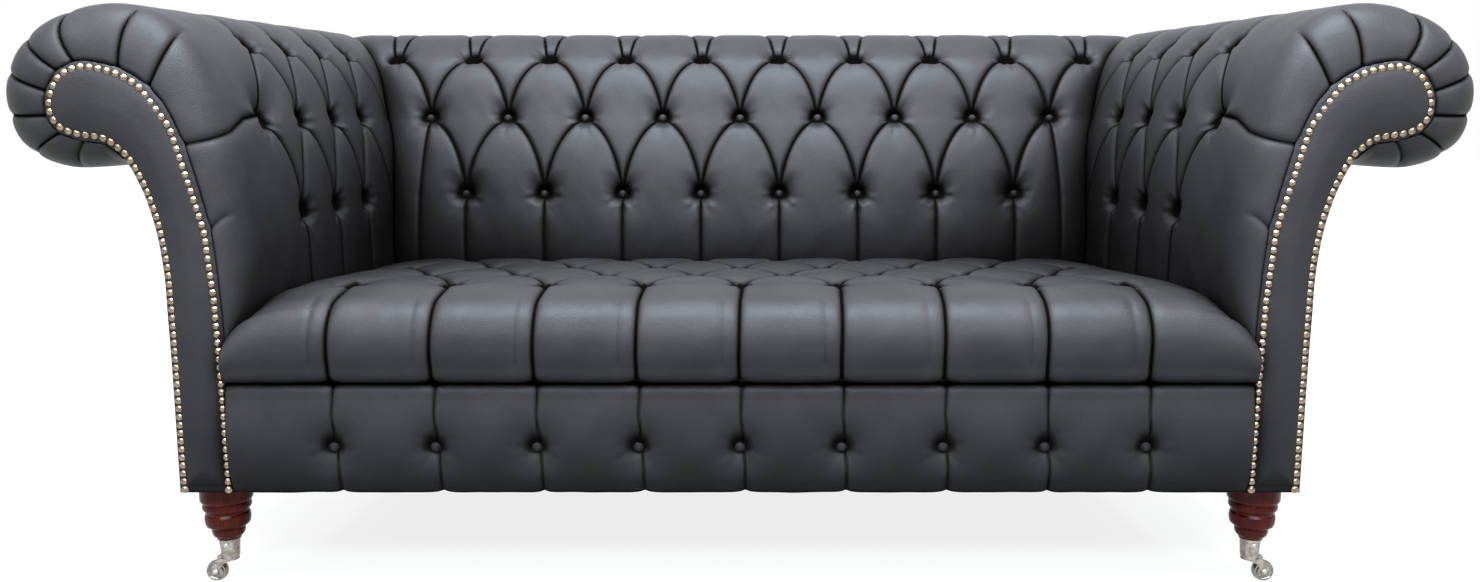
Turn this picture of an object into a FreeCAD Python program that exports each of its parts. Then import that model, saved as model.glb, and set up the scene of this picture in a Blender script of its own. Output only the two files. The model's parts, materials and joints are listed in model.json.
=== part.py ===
import FreeCAD, Part
import math
import os

V = FreeCAD.Vector

# Chesterfield sofa in millimetres. +X is to the right seen from the front, the front faces -Y, +Z is up.
# The origin is on the floor, under the middle of the sofa's outline. d is the distance behind the facings.

# Overall sizes
overall_width = 2000.0
overall_depth = 910.0
overall_height = 831.0
drawn_rise = 401.0             # from the seat's level to the top, where the section was drawn
underside_z = 157.0            # lower edge of the border, the facings and the outside panels
arm_splay_deg = 5.0            # each arm runs in towards the back by this angle
nose_overhang = 18.0           # how far the seat's nose stands in front of the facings

# Seat and border
seam_z = 316.0                 # seam between the seat and the border
seat_nose_z = 443.0            # crown of the seat at its first row of buttons
seat_fall = 8.0                # drop of the seat's crown from one row of buttons to the next
seat_floor_z = 317.5           # underside of the seat's filling
seat_columns = 9               # pleats of the nose and of the border
seat_end_margin = 145.0        # from the last pleat to the facing's inner edge
seat_first_row = 105.0         # first row of seat buttons behind the facings
seat_row_count = 4
seat_back_margin = 50.0        # from the last row of seat buttons to the inside back
seat_sink = 20.0               # depth of the seat's tufts
nose_sink = 11.0               # depth of the pleats over the nose
nose_front_z = 383.0           # height at which the nose stands furthest forward
nose_shoulder_z = 421.0        # where the nose turns over to the top, at the facings
seat_squeeze = 50.0            # how much narrower the seat is between the fronts of the arms, each side
seat_end_round = 16.0          # how far the seat's long ends fall away below its crown
nose_end_fall = 36.0           # the same at the nose, between the fronts of the arms
border_crown = 14.0            # how far the border bulges in front of the facings
border_depth = 38.0            # thickness of the padded border
border_sink = 5.0               # depth of the border's pleats
border_tuft = 8.0               # depth of its buttons
border_button_z = 226.0

# Arms and inside back
roll_reach = 298.0             # from the facing's inner edge to the outside of the arm's roll
arm_nose_depth = 60.0          # length of the rounded front end of an arm
arm_columns = 4                # buttons in the middle row of an arm
arm_first_button = 170.0       # first button of that row behind the facings
arm_rear_margin = 120.0        # from its last button to the corner with the back
back_columns = 10              # buttons in the top row of the back
back_corner_margin = 40.0      # from its last button to the corner with the arm
tuft_sink = 27.0               # depth of the deep buttoning
low_sink_arm = 20.0            # depth of the lowest row on an arm, where the pad is thin
roll_sink = 10.0               # depth of the pleats over the rolls
button_seat = 16.0             # width of the flat that a button is drawn down to
pleat_width = 6.0
roll_pleat_width = 50.0        # width of the folded pleat over the back's roll
corner_sink = 12.0             # how far the pads are drawn in at the corner fold
corner_gap = 0.6               # between the arm's pad and the back's pad
soft_gap = 0.8                 # between a soft piece and what it lies against

# Facings and their nails
facing_depth = 14.0
facing_round = 3.0
facing_gap = 2.0               # between the facing's edge and the pad that wraps round it
board_depth = 18.0
fit_gap = 0.4                  # between panels and boards that lie side by side
nail_inset = 9.0               # from the facing's edge to the line of nails
nail_pitch = 11.6
nail_head_r = 5.2
nail_head_rise = 2.8
nail_shank = 1.5
nail_length = 18.0

# Buttons
button_r = 8.5
button_rise = 5.5
button_rim = 1.8
button_bed = 2.0               # how deep a button's rim sits in the leather

# Frame
panel_depth = 4.0
rail_depth = 28.0
rail_top_z = 308.0
rail_foot_z = 162.0
side_rail_width = 40.0
side_rail_inset = 23.0         # from the facing's inner edge to the side rail
brace_share = 0.332             # place of the seat braces, as a share of the facing's inner edge
brace_width = 40.0
brace_top_z = 262.0
tack_rail_foot_z = 345.0
tack_rail_top_z = 385.0
tack_rail_depth = 24.0
rib_columns = (1.494, 3.493)    # places of the back's ribs, in pitches of the seat's buttons from the middle
rib_width = 22.0
back_panel_face = 112.0        # from the roll's rearmost line to the outside back
top_rail_width = 54.0
top_rail_height = 44.0
dust_cover_depth = 1.5
block_side = 60.0

# Springs, hessian and webbing
spring_count = 9
spring_wire = 3.8
spring_pitch = 52.0
spring_width = 60.0
clip_width = 22.0
clip_thickness = 1.2
hessian_depth = 1.6
webbing_width = 50.0
webbing_depth = 1.8
webbing_count = 9

# Legs and castors
leg_from_inner_edge = 44.75     # leg's axis outward from the facing's inner edge
leg_d = 70.0
rear_leg_margin = 42.0          # rear leg's axis in front of the outside back
leg_top_r = 36.5
leg_foot_z = 44.0
cup_top_z = 66.0
cup_foot_z = 38.6
cup_top_r = 14.8
cup_foot_r = 12.8
cup_wall = 1.6
cup_rim_rise = 2.4
cup_rim = 2.0
leg_bolt_r = 4.0
leg_bolt_length = 110.0
leg_bolt_into_leg = 50.0
wheel_r = 15.5
wheel_width = 13.0
wheel_gap = 0.5
axle_r = 2.4
running_fit = 0.05
pintle_r = 4.0
pintle_top_z = 56.0
castor_trail = 21.0
horn_gap = 0.3
horn_plate_z = 33.4
horn_plate_r = 12.0
cheek_width = 2.6
cup_screw_r = 1.6
cup_screw_length = 7.0

# Places worked out from the sizes above
splay = math.tan(math.radians(arm_splay_deg))
front_y = -overall_depth / 2 + nose_overhang
roll_rear_d = overall_depth - nose_overhang
arm_inner_x = overall_width / 2 - roll_reach + splay * arm_nose_depth
outside_back_d = roll_rear_d - back_panel_face
leg_x = arm_inner_x + leg_from_inner_edge
rear_leg_d = outside_back_d - rear_leg_margin
seat_level_z = seat_nose_z - 13.0
pad_foot_z = seam_z + 14.0
SIDES = {"left": -1, "right": 1}


def at(x, d, z):
    """A point x across, d behind the facings and z above the floor."""
    return V(x, front_y + d, z)


def unit(a, b):
    """Length of the plane vector from a to b, and its direction."""
    run, rise = b[0] - a[0], b[1] - a[1]
    length = math.hypot(run, rise)
    return length, (run / length, rise / length)


def save(name, solids):
    """Write one sub-part, which may be several separate solids."""
    shape = solids[0] if len(solids) == 1 else Part.makeCompound(solids)
    shape.exportStep("parts/" + name + ".step")


def line(a, b):
    return Part.makeLine(a, b)


def arc(a, middle, b):
    return Part.Arc(a, middle, b).toShape()


def solid_from(faces):
    """Sew faces that share their edges into one solid."""
    shell = Part.makeShell(faces)
    shell.sewShape()
    solid = Part.makeSolid(shell)
    if solid.Volume < 0:
        solid.reverse()
    return solid


def prism(points, push):
    """A straight-sided solid from a closed outline of points, pushed along a vector."""
    return Part.Face(Part.makePolygon(points + [points[0]])).extrude(push)


def block(x0, x1, d0, d1, z0, z1):
    return Part.makeBox(x1 - x0, d1 - d0, z1 - z0, at(x0, d0, z0))


# Section of the arm and of the back, level by level from the seat up and round the roll. Both sections
# share their heights, so that they meet in one corner fold. The crown is the leather at its fullest and
# the former is the wooden shape below it, which at the arm's front is the facing's edge.

class Level:
    def __init__(self, crown_z, former_z, arm_crown, arm_former, back_crown, back_former):
        self.crown_z = crown_z
        self.former_z = former_z
        self.arm_crown = arm_crown          # outward from the facing's inner edge
        self.arm_former = arm_former
        self.back_crown = roll_rear_d - back_crown      # given forward of the roll's rearmost line
        self.back_former = roll_rear_d - back_former


def below_top(drop):
    """Height of a point of the section, given as its drop below the top on the drawn sofa."""
    return overall_height - drop * (overall_height - seat_level_z) / drawn_rise


def section_levels():
    reach = roll_reach
    drawn = [
        # drop of the leather and of the former below the top, then outward for the arm and forward for the back
        (303, 303, -23, 9, 302, 242),
        (163, 163, -2, 45, 254, 195),
        (41, 107, 51, 83, 195, 150),
        (9, 93, 94, 104, 147, 135),
        (0, 82, 143, 133, 100, 110),
        (4, 79, reach - 118, 150, 72, 98),
        (13, 78, reach - 85, 165, 47, 86),
        (29, 83, reach - 55, 183, 28, 76),
        (51, 92, reach - 30, 198, 14, 68),
        (81, 110, reach - 10, 211, 4, 63),
        (116, 131, reach, 218, 0, 60),
        (154, 150, reach - 3, 217, 2, 61),
        (188, 166, reach - 17, 209, 12, 66),
        (210, 175, reach - 44, 198, 29, 74),
        (221, 181, reach - 78, 183, 52, 84),
        (217, 189, 143, 141, 97, 105),
    ]
    levels = [Level(pad_foot_z, pad_foot_z, -25, 0, 307, 252), Level(seat_level_z, seat_level_z, -25, 2, 317, 252)]
    for crown, former, *across in drawn:
        levels.append(Level(below_top(crown), below_top(former), *across))
    return levels


LEVELS = section_levels()
LEVEL_ORDER = ("foot", "seat", "low row", "middle row", "top row", "first of the roll")
LOW_ROW = LEVEL_ORDER.index("low row")
MIDDLE_ROW = LEVEL_ORDER.index("middle row")
TOP_ROW = LEVEL_ORDER.index("top row")
FIRST_ROLL_LEVEL = LEVEL_ORDER.index("first of the roll")
WIDEST = max(LEVELS, key=lambda level: level.arm_crown)


def level_sink(index, on_arm):
    """Depth of the tufts or pleats at a level of the section."""
    if index < LOW_ROW:
        return pleat_sink_below(on_arm)
    if index == LOW_ROW and on_arm:
        return low_sink_arm
    if index <= TOP_ROW:
        return tuft_sink
    rolled = (len(LEVELS) - 1 - index) / (len(LEVELS) - 1 - FIRST_ROLL_LEVEL)
    return roll_sink * (0.4 + 0.6 * rolled)


def pleat_sink_below(on_arm):
    """Depth of the upright pleats between the lowest row and the seat."""
    return low_sink_arm * 0.5 if on_arm else tuft_sink * 0.6


def corner_point(level):
    """Where the arm's leather meets the back's at the corner fold: across, behind, height."""
    _, arm_way = unit((level.arm_former, level.former_z), (level.arm_crown, level.crown_z))
    _, back_way = unit((level.back_former, level.former_z), (level.back_crown, level.crown_z))
    drawn = corner_sink if level.crown_z >= level.former_z else 0.0
    behind = level.back_crown - drawn * back_way[0]
    across = arm_inner_x + level.arm_crown - drawn * arm_way[0] - splay * behind
    return across, behind, level.crown_z - drawn * (arm_way[1] + back_way[1]) / 2


def corner_root(level):
    """The same corner on the wooden former below the leather."""
    behind = level.back_former
    return arm_inner_x + level.arm_former - splay * behind, behind, level.former_z


# A tufted pad is built from rows. A row is a chain of edges across the pad: a plain end, then flats
# where the buttons or pleats draw the leather down, with an arc of leather between each two, and a plain end.

class Row:
    def __init__(self, place, height, start, end, centres, half_flat, sink, root_start, root_end,
                 nose=None, flat_crown=0.0):
        self.centres = centres
        self.nose = nose
        self.root = (root_start, root_end)
        low = height - sink
        corners = [start]
        for centre in centres:
            corners.append(place(centre - half_flat, low))
            corners.append(place(centre + half_flat, low))
        corners.append(end)
        self.corners = corners
        self.chain = [line(corners[0], corners[1])]
        for i, centre in enumerate(centres):
            a, b = corners[2 * i + 1], corners[2 * i + 2]
            self.chain.append(arc(a, place(centre, low + flat_crown), b) if flat_crown else line(a, b))
            if i + 1 < len(centres):
                middle = (centre + centres[i + 1]) / 2
                self.chain.append(arc(b, place(middle, height), corners[2 * i + 3]))
        self.chain.append(line(corners[-2], corners[-1]))


def ruled(a, b):
    return Part.makeRuledSurface(a, b)


def triangle(a, b, c):
    return Part.Face(Part.makePolygon([a, b, c, a]))


def strip(lower, upper):
    """Leather between two rows. Rows whose buttons are half a pitch apart give the diamonds."""
    a, b = list(lower.chain), list(upper.chain)
    faces = []
    if abs(lower.centres[0] - upper.centres[0]) > button_seat:
        if lower.centres[0] < upper.centres[0]:
            a.pop(0)
            faces.append(triangle(lower.corners[0], lower.corners[1], upper.corners[0]))
        else:
            b.pop(0)
            faces.append(triangle(upper.corners[0], upper.corners[1], lower.corners[0]))
        if lower.centres[-1] > upper.centres[-1]:
            a.pop()
            faces.append(triangle(lower.corners[-2], lower.corners[-1], upper.corners[-1]))
        else:
            b.pop()
            faces.append(triangle(upper.corners[-2], upper.corners[-1], lower.corners[-1]))
    return faces + [ruled(e, f) for e, f in zip(a, b)]


def cap(row):
    """Flat face that closes a pad at its first or last row."""
    edges = list(row.chain)
    if row.nose:
        edges.insert(0, row.nose)
    else:
        edges.insert(0, line(row.root[0], row.corners[0]))
    edges.append(line(row.corners[-1], row.root[1]))
    edges.append(line(row.root[1], row.root[0]))
    return Part.Face(Part.Wire(edges))


def pad_from(rows):
    """Closed pad through its rows, with the plain side that lies on the frame."""
    faces = [cap(rows[0]), cap(rows[-1])]
    for lower, upper in zip(rows, rows[1:]):
        faces += strip(lower, upper)
        faces.append(ruled(line(*lower.root), line(*upper.root)))
        faces.append(ruled(line(lower.corners[-1], lower.root[1]), line(upper.corners[-1], upper.root[1])))
        if lower.nose:
            faces.append(ruled(lower.nose, upper.nose))
        else:
            faces.append(ruled(line(lower.root[0], lower.corners[0]), line(upper.root[0], upper.corners[0])))
    return solid_from(faces)


def across_row(root, crown, ends, root_ends, centres, half_flat, sink, end_sink, flat_crown=0.0):
    """A row that runs across the sofa. root and crown are its (d, z) below and on top of the pad."""
    height, way = unit(root, crown)

    def place(x, h):
        return at(x, root[0] + way[0] * h, root[1] + way[1] * h)
    return Row(place, height, place(-ends, height - end_sink), place(ends, height - end_sink), centres,
               half_flat, sink, place(-root_ends, 0), place(root_ends, 0), flat_crown=flat_crown)


def spread(count, pitch):
    """Places of count buttons at a pitch, about the middle."""
    return [(i - (count - 1) / 2) * pitch for i in range(count)]


# Inside back

def back_pitch():
    return 2 * (corner_point(LEVELS[TOP_ROW])[0] - back_corner_margin) / (back_columns - 1)


def back_row_centres(index):
    """Buttons or pleats of the back at a level: ten, nine and eight in the three rows."""
    missing = {LOW_ROW: 2, MIDDLE_ROW: 1}.get(max(index, LOW_ROW), 0)
    return spread(back_columns - missing, back_pitch())


def back_place(level):
    root = (level.back_former, level.former_z)
    height, way = unit(root, (level.back_crown, level.crown_z))

    def place(x, h):
        return at(x, root[0] + way[0] * h, root[1] + way[1] * h)
    return place, height, way


def back_row(index):
    level = LEVELS[index]
    place, height, _ = back_place(level)
    across, behind, z = corner_point(level)
    root_across, root_behind, root_z = corner_root(level)
    across -= corner_gap / 2
    root_across -= corner_gap / 2
    on_roll = index >= FIRST_ROLL_LEVEL
    half = roll_pleat_width / 2 if on_roll else button_seat / 2 if index >= LOW_ROW else pleat_width / 2
    return Row(place, height, at(-across, behind, z), at(across, behind, z), back_row_centres(index), half,
               level_sink(index, False), at(-root_across, root_behind, root_z),
               at(root_across, root_behind, root_z), flat_crown=4.0 if on_roll else 0.0)


def make_back_pad():
    return pad_from([back_row(i) for i in range(len(LEVELS))])


# Arm pads

def arm_pitch():
    last = LEVELS[MIDDLE_ROW].back_crown - arm_rear_margin
    return (last - arm_first_button) / (arm_columns - 1)


def arm_row_centres(index):
    """Buttons of an arm at a level. The top and low rows are half a pitch behind the middle one."""
    if index == MIDDLE_ROW:
        return [arm_first_button + i * arm_pitch() for i in range(arm_columns)]
    count = arm_columns - 1 if index < MIDDLE_ROW else arm_columns
    return [arm_first_button + (i + 0.5) * arm_pitch() for i in range(count)]


def arm_place(level, side):
    root = (level.arm_former, level.former_z)
    height, way = unit(root, (level.arm_crown, level.crown_z))

    def place(d, h):
        return at(side * (arm_inner_x + root[0] + way[0] * h - splay * d), d, root[1] + way[1] * h)
    return place, height, way


def arm_row(index, side):
    level = LEVELS[index]
    place, height, _ = arm_place(level, side)
    across, behind, z = corner_point(level)
    root_across, root_behind, root_z = corner_root(level)
    across, behind = across + splay * corner_gap, behind - corner_gap
    root_across, root_behind = root_across + splay * corner_gap, root_behind - corner_gap
    buttoned = LOW_ROW <= index <= TOP_ROW
    half = button_seat / 2 if buttoned else pleat_width / 2
    length = arm_nose_depth - facing_round
    first = place(facing_round, 0)
    shoulder = place(arm_nose_depth, height - (6.0 if index == MIDDLE_ROW else 0.0))
    knee = place(facing_round + length * (1 - math.cos(math.pi / 4)), height * math.sin(math.pi / 4))
    return Row(place, height, shoulder, at(side * across, behind, z), arm_row_centres(index), half,
               level_sink(index, True), first, at(side * root_across, root_behind, root_z),
               nose=arc(first, knee, shoulder))


def make_arm_pad(side):
    return pad_from([arm_row(i, side) for i in range(len(LEVELS))])


# Seat and border

def seat_pitch():
    return 2 * (arm_inner_x - seat_end_margin) / (seat_columns - 1)


def seat_side(d):
    """Half the seat's width at a distance behind the facings, clear of the arms' pads."""
    return arm_inner_x + LEVELS[1].arm_crown - splay * d - soft_gap


def seat_row_places():
    """Distances of the seat's rows of buttons behind the facings."""
    rear = LEVELS[1].back_crown - seat_back_margin
    row_pitch = (rear - seat_first_row) / (seat_row_count - 1)
    return [seat_first_row + i * row_pitch for i in range(seat_row_count)]


def make_seat():
    columns = spread(seat_columns, seat_pitch())
    between = spread(seat_columns - 1, seat_pitch())
    inside = arm_inner_x - soft_gap
    floor = seat_floor_z
    crown_z = seat_nose_z
    pleat = pleat_width / 2
    squeezed = arm_inner_x - seat_squeeze
    bulge_z = (seam_z + nose_front_z) / 2
    nose_rows = [
        # distance behind the facings of the root and of the crown, height of the crown, half length, sink
        (45, -2, floor, inside - 4, nose_sink * 0.4, 0),
        (50, 3 - nose_overhang, bulge_z, inside - 4, nose_sink, 1),
        (55, -nose_overhang, nose_front_z, inside - 4, nose_sink, 2),
        (60, 0, nose_shoulder_z, inside - 20, nose_sink, nose_end_fall * 0.9),
        (70, 42, crown_z - 4, squeezed + 4, nose_sink, nose_end_fall * 0.9),
    ]
    rows = [across_row((root, floor), (crown, z), ends, squeezed, columns, pleat, sink, fall)
            for root, crown, z, ends, sink, fall in nose_rows]
    for i, d in enumerate(seat_row_places()):
        end_fall = seat_end_round * (1.5 if i == 0 else 1.0)
        rows.append(across_row((d, floor), (d, crown_z - seat_fall * i), seat_side(d), seat_side(d),
                               columns if i % 2 == 0 else between, button_seat / 2, seat_sink, end_fall))
    d = LEVELS[1].back_crown - soft_gap * 4
    last = columns if seat_row_count % 2 else between
    rows.append(across_row((d, floor), (d, crown_z - seat_fall * (seat_row_count - 0.6)), seat_side(d),
                           seat_side(d), last, pleat, nose_sink, seat_end_round))
    return pad_from(rows)


def border_heights():
    """Height and bulge of the border, from its lower edge to the seam."""
    top = seam_z - soft_gap
    below, above = (underside_z + border_button_z) / 2, (border_button_z + top) / 2
    return [(underside_z, 0.25), (below, 0.85), (border_button_z, 1.0), (above, 0.9), (top, 0.2)]


def make_border():
    columns = spread(seat_columns, seat_pitch())
    inside = arm_inner_x - soft_gap
    rows = []
    for z, bulge in border_heights():
        buttoned = z == border_button_z
        crown = (-border_crown * bulge, z)
        root = (border_depth - border_crown, z)
        sink = border_tuft if buttoned else border_sink * bulge + 1
        rows.append(across_row(root, crown, inside, inside, columns,
                               button_seat / 2 if buttoned else pleat_width / 2, sink, 2 * bulge))
    return pad_from(rows)


# Buttons

def dome(r, rim, rise):
    """A round solid with a short rim and a domed top, standing on the origin along +Z."""
    bulge = (r ** 2 + (rise - rim) ** 2) / (2 * (rise - rim))
    half_angle = math.asin(r / bulge) / 2
    middle = V(bulge * math.sin(half_angle), 0, rise - bulge * (1 - math.cos(half_angle)))
    edge, top = V(r, 0, rim), V(0, 0, rise)
    edges = [arc(edge, middle, top), line(top, V(0, 0, 0)), line(V(0, 0, 0), V(r, 0, 0))]
    if rim > 0:
        edges.append(line(V(r, 0, 0), edge))
    return Part.Face(Part.Wire(edges)).revolve(V(0, 0, 0), V(0, 0, 1), 360)


def button(place_point, way):
    """A leather-covered button on a flat at place_point, facing along way."""
    solid = dome(button_r, button_rim, button_rise)
    turn = FreeCAD.Rotation(V(0, 0, 1), way)
    solid.Placement = FreeCAD.Placement(place_point - way * button_bed, turn)
    return solid


def make_back_buttons():
    solids = []
    for index in (LOW_ROW, MIDDLE_ROW, TOP_ROW):
        place, height, way = back_place(LEVELS[index])
        for x in back_row_centres(index):
            solids.append(button(place(x, height - level_sink(index, False)), V(0, way[0], way[1])))
    return solids


def make_arm_buttons(side):
    solids = []
    for index in (LOW_ROW, MIDDLE_ROW, TOP_ROW):
        place, height, way = arm_place(LEVELS[index], side)
        for d in arm_row_centres(index):
            solids.append(button(place(d, height - level_sink(index, True)), V(side * way[0], 0, way[1])))
    return solids


def make_seat_buttons():
    solids = []
    for i, d in enumerate(seat_row_places()):
        count = seat_columns if i % 2 == 0 else seat_columns - 1
        z = seat_nose_z - seat_fall * i - seat_sink
        solids += [button(at(x, d, z), V(0, 0, 1)) for x in spread(count, seat_pitch())]
    return solids


def make_border_buttons():
    d = -border_crown + border_tuft
    return [button(at(x, d, border_button_z), V(0, -1, 0)) for x in spread(seat_columns, seat_pitch())]


# Facings, their boards and nails

def outer_edge():
    """The facing's outer edge, from the neck below the head down to the underside."""
    drawn = [(133, 195), (119, 207), (101, 241), (86, 291), (78, 351), (77, 431)]
    return [(across, below_top(drop)) for across, drop in drawn] + [(79, underside_z)]


def facing_points(inset):
    """Outline of a facing, (outward from its inner edge, height), drawn in by inset."""
    points = [(0.0, underside_z)] + [(lv.arm_former, lv.former_z) for lv in LEVELS] + outer_edge()
    drawn = []
    for i, (a, z) in enumerate(points):
        before = points[max(i - 1, 0)]
        after = points[min(i + 1, len(points) - 1)]
        _, way = unit(before, after)
        drawn.append((a + way[1] * inset, z - way[0] * inset))
    return drawn


def facing_edges(inset, side, d, foot_z):
    """Edges round a facing, open at the foot: straight stretches and a smooth curve over the head."""
    outline = facing_points(inset)
    outline[0] = (outline[0][0], foot_z)
    outline[-1] = (outline[-1][0], foot_z)
    points = [at(side * (arm_inner_x + a - splay * d), d, z) for a, z in outline]
    first, last = TOP_ROW + 1, len(points) - len(outer_edge())
    curve = Part.BSplineCurve()
    curve.interpolate(points[first:last + 1])
    before = [line(a, b) for a, b in zip(points[:first], points[1:first + 1])]
    return before + [curve.toShape()] + [line(a, b) for a, b in zip(points[last:-1], points[last + 1:])]


def facing_slab(inset, side, d0, d1, foot_z=underside_z):
    """A board or pad cut to the facing's outline."""
    edges = facing_edges(inset, side, d0, foot_z)
    foot = line(edges[-1].Vertexes[-1].Point, edges[0].Vertexes[0].Point)
    return Part.Face(Part.Wire(edges + [foot])).extrude(V(0, d1 - d0, 0))


def make_facing(side):
    slab = facing_slab(facing_gap, side, 0, facing_depth)
    rim = [e for e in slab.Edges if abs(e.BoundBox.YMax - front_y) < 1e-3]
    return slab.makeFillet(facing_round, rim)


def make_scroll_board(side):
    start = facing_depth + fit_gap
    return facing_slab(facing_gap + fit_gap, side, start, start + board_depth, rail_foot_z)


def make_nails(side):
    edge = Part.Wire(facing_edges(nail_inset, side, 0, underside_z + nail_pitch / 2))
    count = int(round(edge.Length / nail_pitch)) + 1
    solids = []
    head = dome(nail_head_r, 0, nail_head_rise)
    half = nail_shank / 2
    shank = Part.makeBox(nail_shank, nail_shank, nail_length, V(-half, -half, -nail_length))
    nail = head.fuse(shank).removeSplitter()
    for point in edge.discretize(count):
        copy = nail.copy()
        copy.Placement = FreeCAD.Placement(point, FreeCAD.Rotation(V(0, 0, 1), V(0, -1, 0)))
        solids.append(copy)
    return solids


# Outside panels, cut clear of each other at the rear corners

def make_outside_arm(side):
    """Leather-covered board on the outer face of an arm, bent in at the neck below the roll."""
    start = facing_depth + fit_gap
    end = outside_back_d - panel_depth - fit_gap
    first = len(LEVELS) + 1
    inner = facing_points(-fit_gap)[first:]
    outer = facing_points(-fit_gap - panel_depth)[first:]
    foot = rail_foot_z + fit_gap
    inner[-1], outer[-1] = (inner[-1][0], foot), (outer[-1][0], foot)
    points = [at(side * (arm_inner_x + a - splay * start), start, z) for a, z in outer + inner[::-1]]
    return prism(points, V(-side * splay * (end - start), end - start, 0))


def arm_panel_face(d):
    """Outer face of the arm's outside panel, across from the middle."""
    return arm_inner_x + outer_edge()[-1][0] + fit_gap + panel_depth - splay * d


def make_outside_back():
    half = arm_panel_face(outside_back_d)
    return block(-half, half, outside_back_d - panel_depth, outside_back_d, underside_z,
                 LEVELS[-1].former_z - soft_gap)


# Wooden frame

def side_rail_x(d):
    """Inner face of a side rail."""
    return arm_inner_x + side_rail_inset - splay * d


def along_arm(side, a0, a1, z0, z1, d0, d1):
    """A rail that runs along an arm. a0 and a1 are outward from the facing's inner edge."""
    corners = [(a0, z0), (a1, z0), (a1, z1), (a0, z1)]
    points = [at(side * (arm_inner_x + a - splay * d0), d0, z) for a, z in corners]
    return prism(points, V(-side * splay * (d1 - d0), d1 - d0, 0))


def behind_board():
    return facing_depth + board_depth + 2 * fit_gap


def back_rail_d():
    """Front face of the rail that the seat's springs are fixed to at the back."""
    return LEVELS[0].back_former + fit_gap


def rear_board_d():
    return back_rail_d() + rail_depth + 20.0


def leg_places():
    """Corner name, side and the leg's place across and behind."""
    places = []
    for end, d in (("front", leg_d), ("rear", rear_leg_d)):
        for name, side in SIDES.items():
            places.append((end + "_" + name, side, side * (leg_x - splay * (d - leg_d)), d))
    return places


def bolt_hole(x, d, extra):
    foot = rail_foot_z - leg_bolt_into_leg
    return Part.makeCylinder(leg_bolt_r + extra, leg_bolt_length, at(x, d, foot), V(0, 0, 1))


def make_side_rail(side):
    rail = along_arm(side, side_rail_inset, side_rail_inset + side_rail_width, rail_foot_z, rail_top_z,
                     behind_board(), outside_back_d - panel_depth - 2 * fit_gap)
    for _, leg_side, x, d in leg_places():
        if leg_side == side:
            rail = rail.cut(bolt_hole(x, d, running_fit))
    return rail


def make_front_rail():
    half = arm_inner_x - 2 * fit_gap
    start = border_depth - border_crown + soft_gap
    return block(-half, half, start, start + rail_depth, rail_foot_z, rail_top_z)


def make_back_rail():
    start = back_rail_d()
    half = side_rail_x(start + rail_depth) - fit_gap
    return block(-half, half, start, start + rail_depth, rail_foot_z, rail_top_z)


def make_rear_rail():
    end = outside_back_d - panel_depth - fit_gap
    half = side_rail_x(end) - fit_gap
    return block(-half, half, end - rail_depth, end, rail_foot_z, rail_top_z)


def brace_x():
    return brace_share * arm_inner_x


def rib_x():
    """Ribs stand between the ends of the springs."""
    return [seat_pitch() * share for share in rib_columns]


def make_seat_braces():
    front = border_depth - border_crown + soft_gap + rail_depth + fit_gap
    rear = back_rail_d() - fit_gap
    half = brace_width / 2
    return [block(x - half, x + half, front, rear, rail_foot_z, brace_top_z) for x in (-brace_x(), brace_x())]


def make_corner_blocks():
    """Three-cornered blocks glued in the corners of the seat frame."""
    front = border_depth - border_crown + soft_gap + rail_depth + fit_gap
    rear = back_rail_d() - fit_gap
    solids = []
    for side in SIDES.values():
        for d, way in ((front, 1), (rear, -1)):
            x = side_rail_x(d + max(way, 0) * block_side) - fit_gap
            points = [at(side * x, d, rail_foot_z), at(side * (x - block_side), d, rail_foot_z),
                      at(side * x, d + way * block_side, rail_foot_z)]
            solids.append(prism(points, V(0, 0, rail_top_z - rail_foot_z - 20)))
    return solids


def make_arm_rear_board(side):
    start = rear_board_d()
    slab = facing_slab(facing_gap + splay * board_depth, side, start, start + board_depth, underside_z)
    # the slab leans with the arm, so it is trimmed a little for the splay over its own thickness
    below = block(-overall_width, overall_width, start - 1, start + board_depth + 1, 0, rail_top_z + fit_gap)
    return slab.cut(below)


def roll_centre():
    """Middle of the arm's wooden head, outward and height."""
    heads = [(lv.arm_former, lv.former_z) for lv in LEVELS[FIRST_ROLL_LEVEL:]]
    low, high = min(z for _, z in heads), max(z for _, z in heads)
    return (LEVELS[FIRST_ROLL_LEVEL].arm_former + WIDEST.arm_former) / 2, (low + high) / 2


def make_arm_top_rail(side):
    a, z = roll_centre()
    return along_arm(side, a - top_rail_width / 2, a + top_rail_width / 2, z - top_rail_height / 2,
                     z + top_rail_height / 2, behind_board(), rear_board_d() - fit_gap)


def make_arm_tack_rail(side):
    return along_arm(side, 4 + soft_gap, 4 + soft_gap + tack_rail_depth, tack_rail_foot_z, tack_rail_top_z,
                     behind_board(), rear_board_d() - fit_gap)


def back_head():
    """Middle of the back's wooden head, behind and height."""
    _, z = roll_centre()
    return (LEVELS[FIRST_ROLL_LEVEL].back_former + WIDEST.back_former) / 2, z


def make_back_top_rail():
    d, z = back_head()
    half = corner_root(LEVELS[TOP_ROW])[0] - 8
    return block(-half, half, d - top_rail_height / 2, d + top_rail_height / 2, z - top_rail_height / 2,
                 z + top_rail_height / 2)


def make_back_tack_rail():
    start = LEVELS[0].back_former + soft_gap
    half = side_rail_x(start + tack_rail_depth) - side_rail_inset - 2 * soft_gap
    return block(-half, half, start, start + tack_rail_depth, tack_rail_foot_z, tack_rail_top_z)


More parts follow.
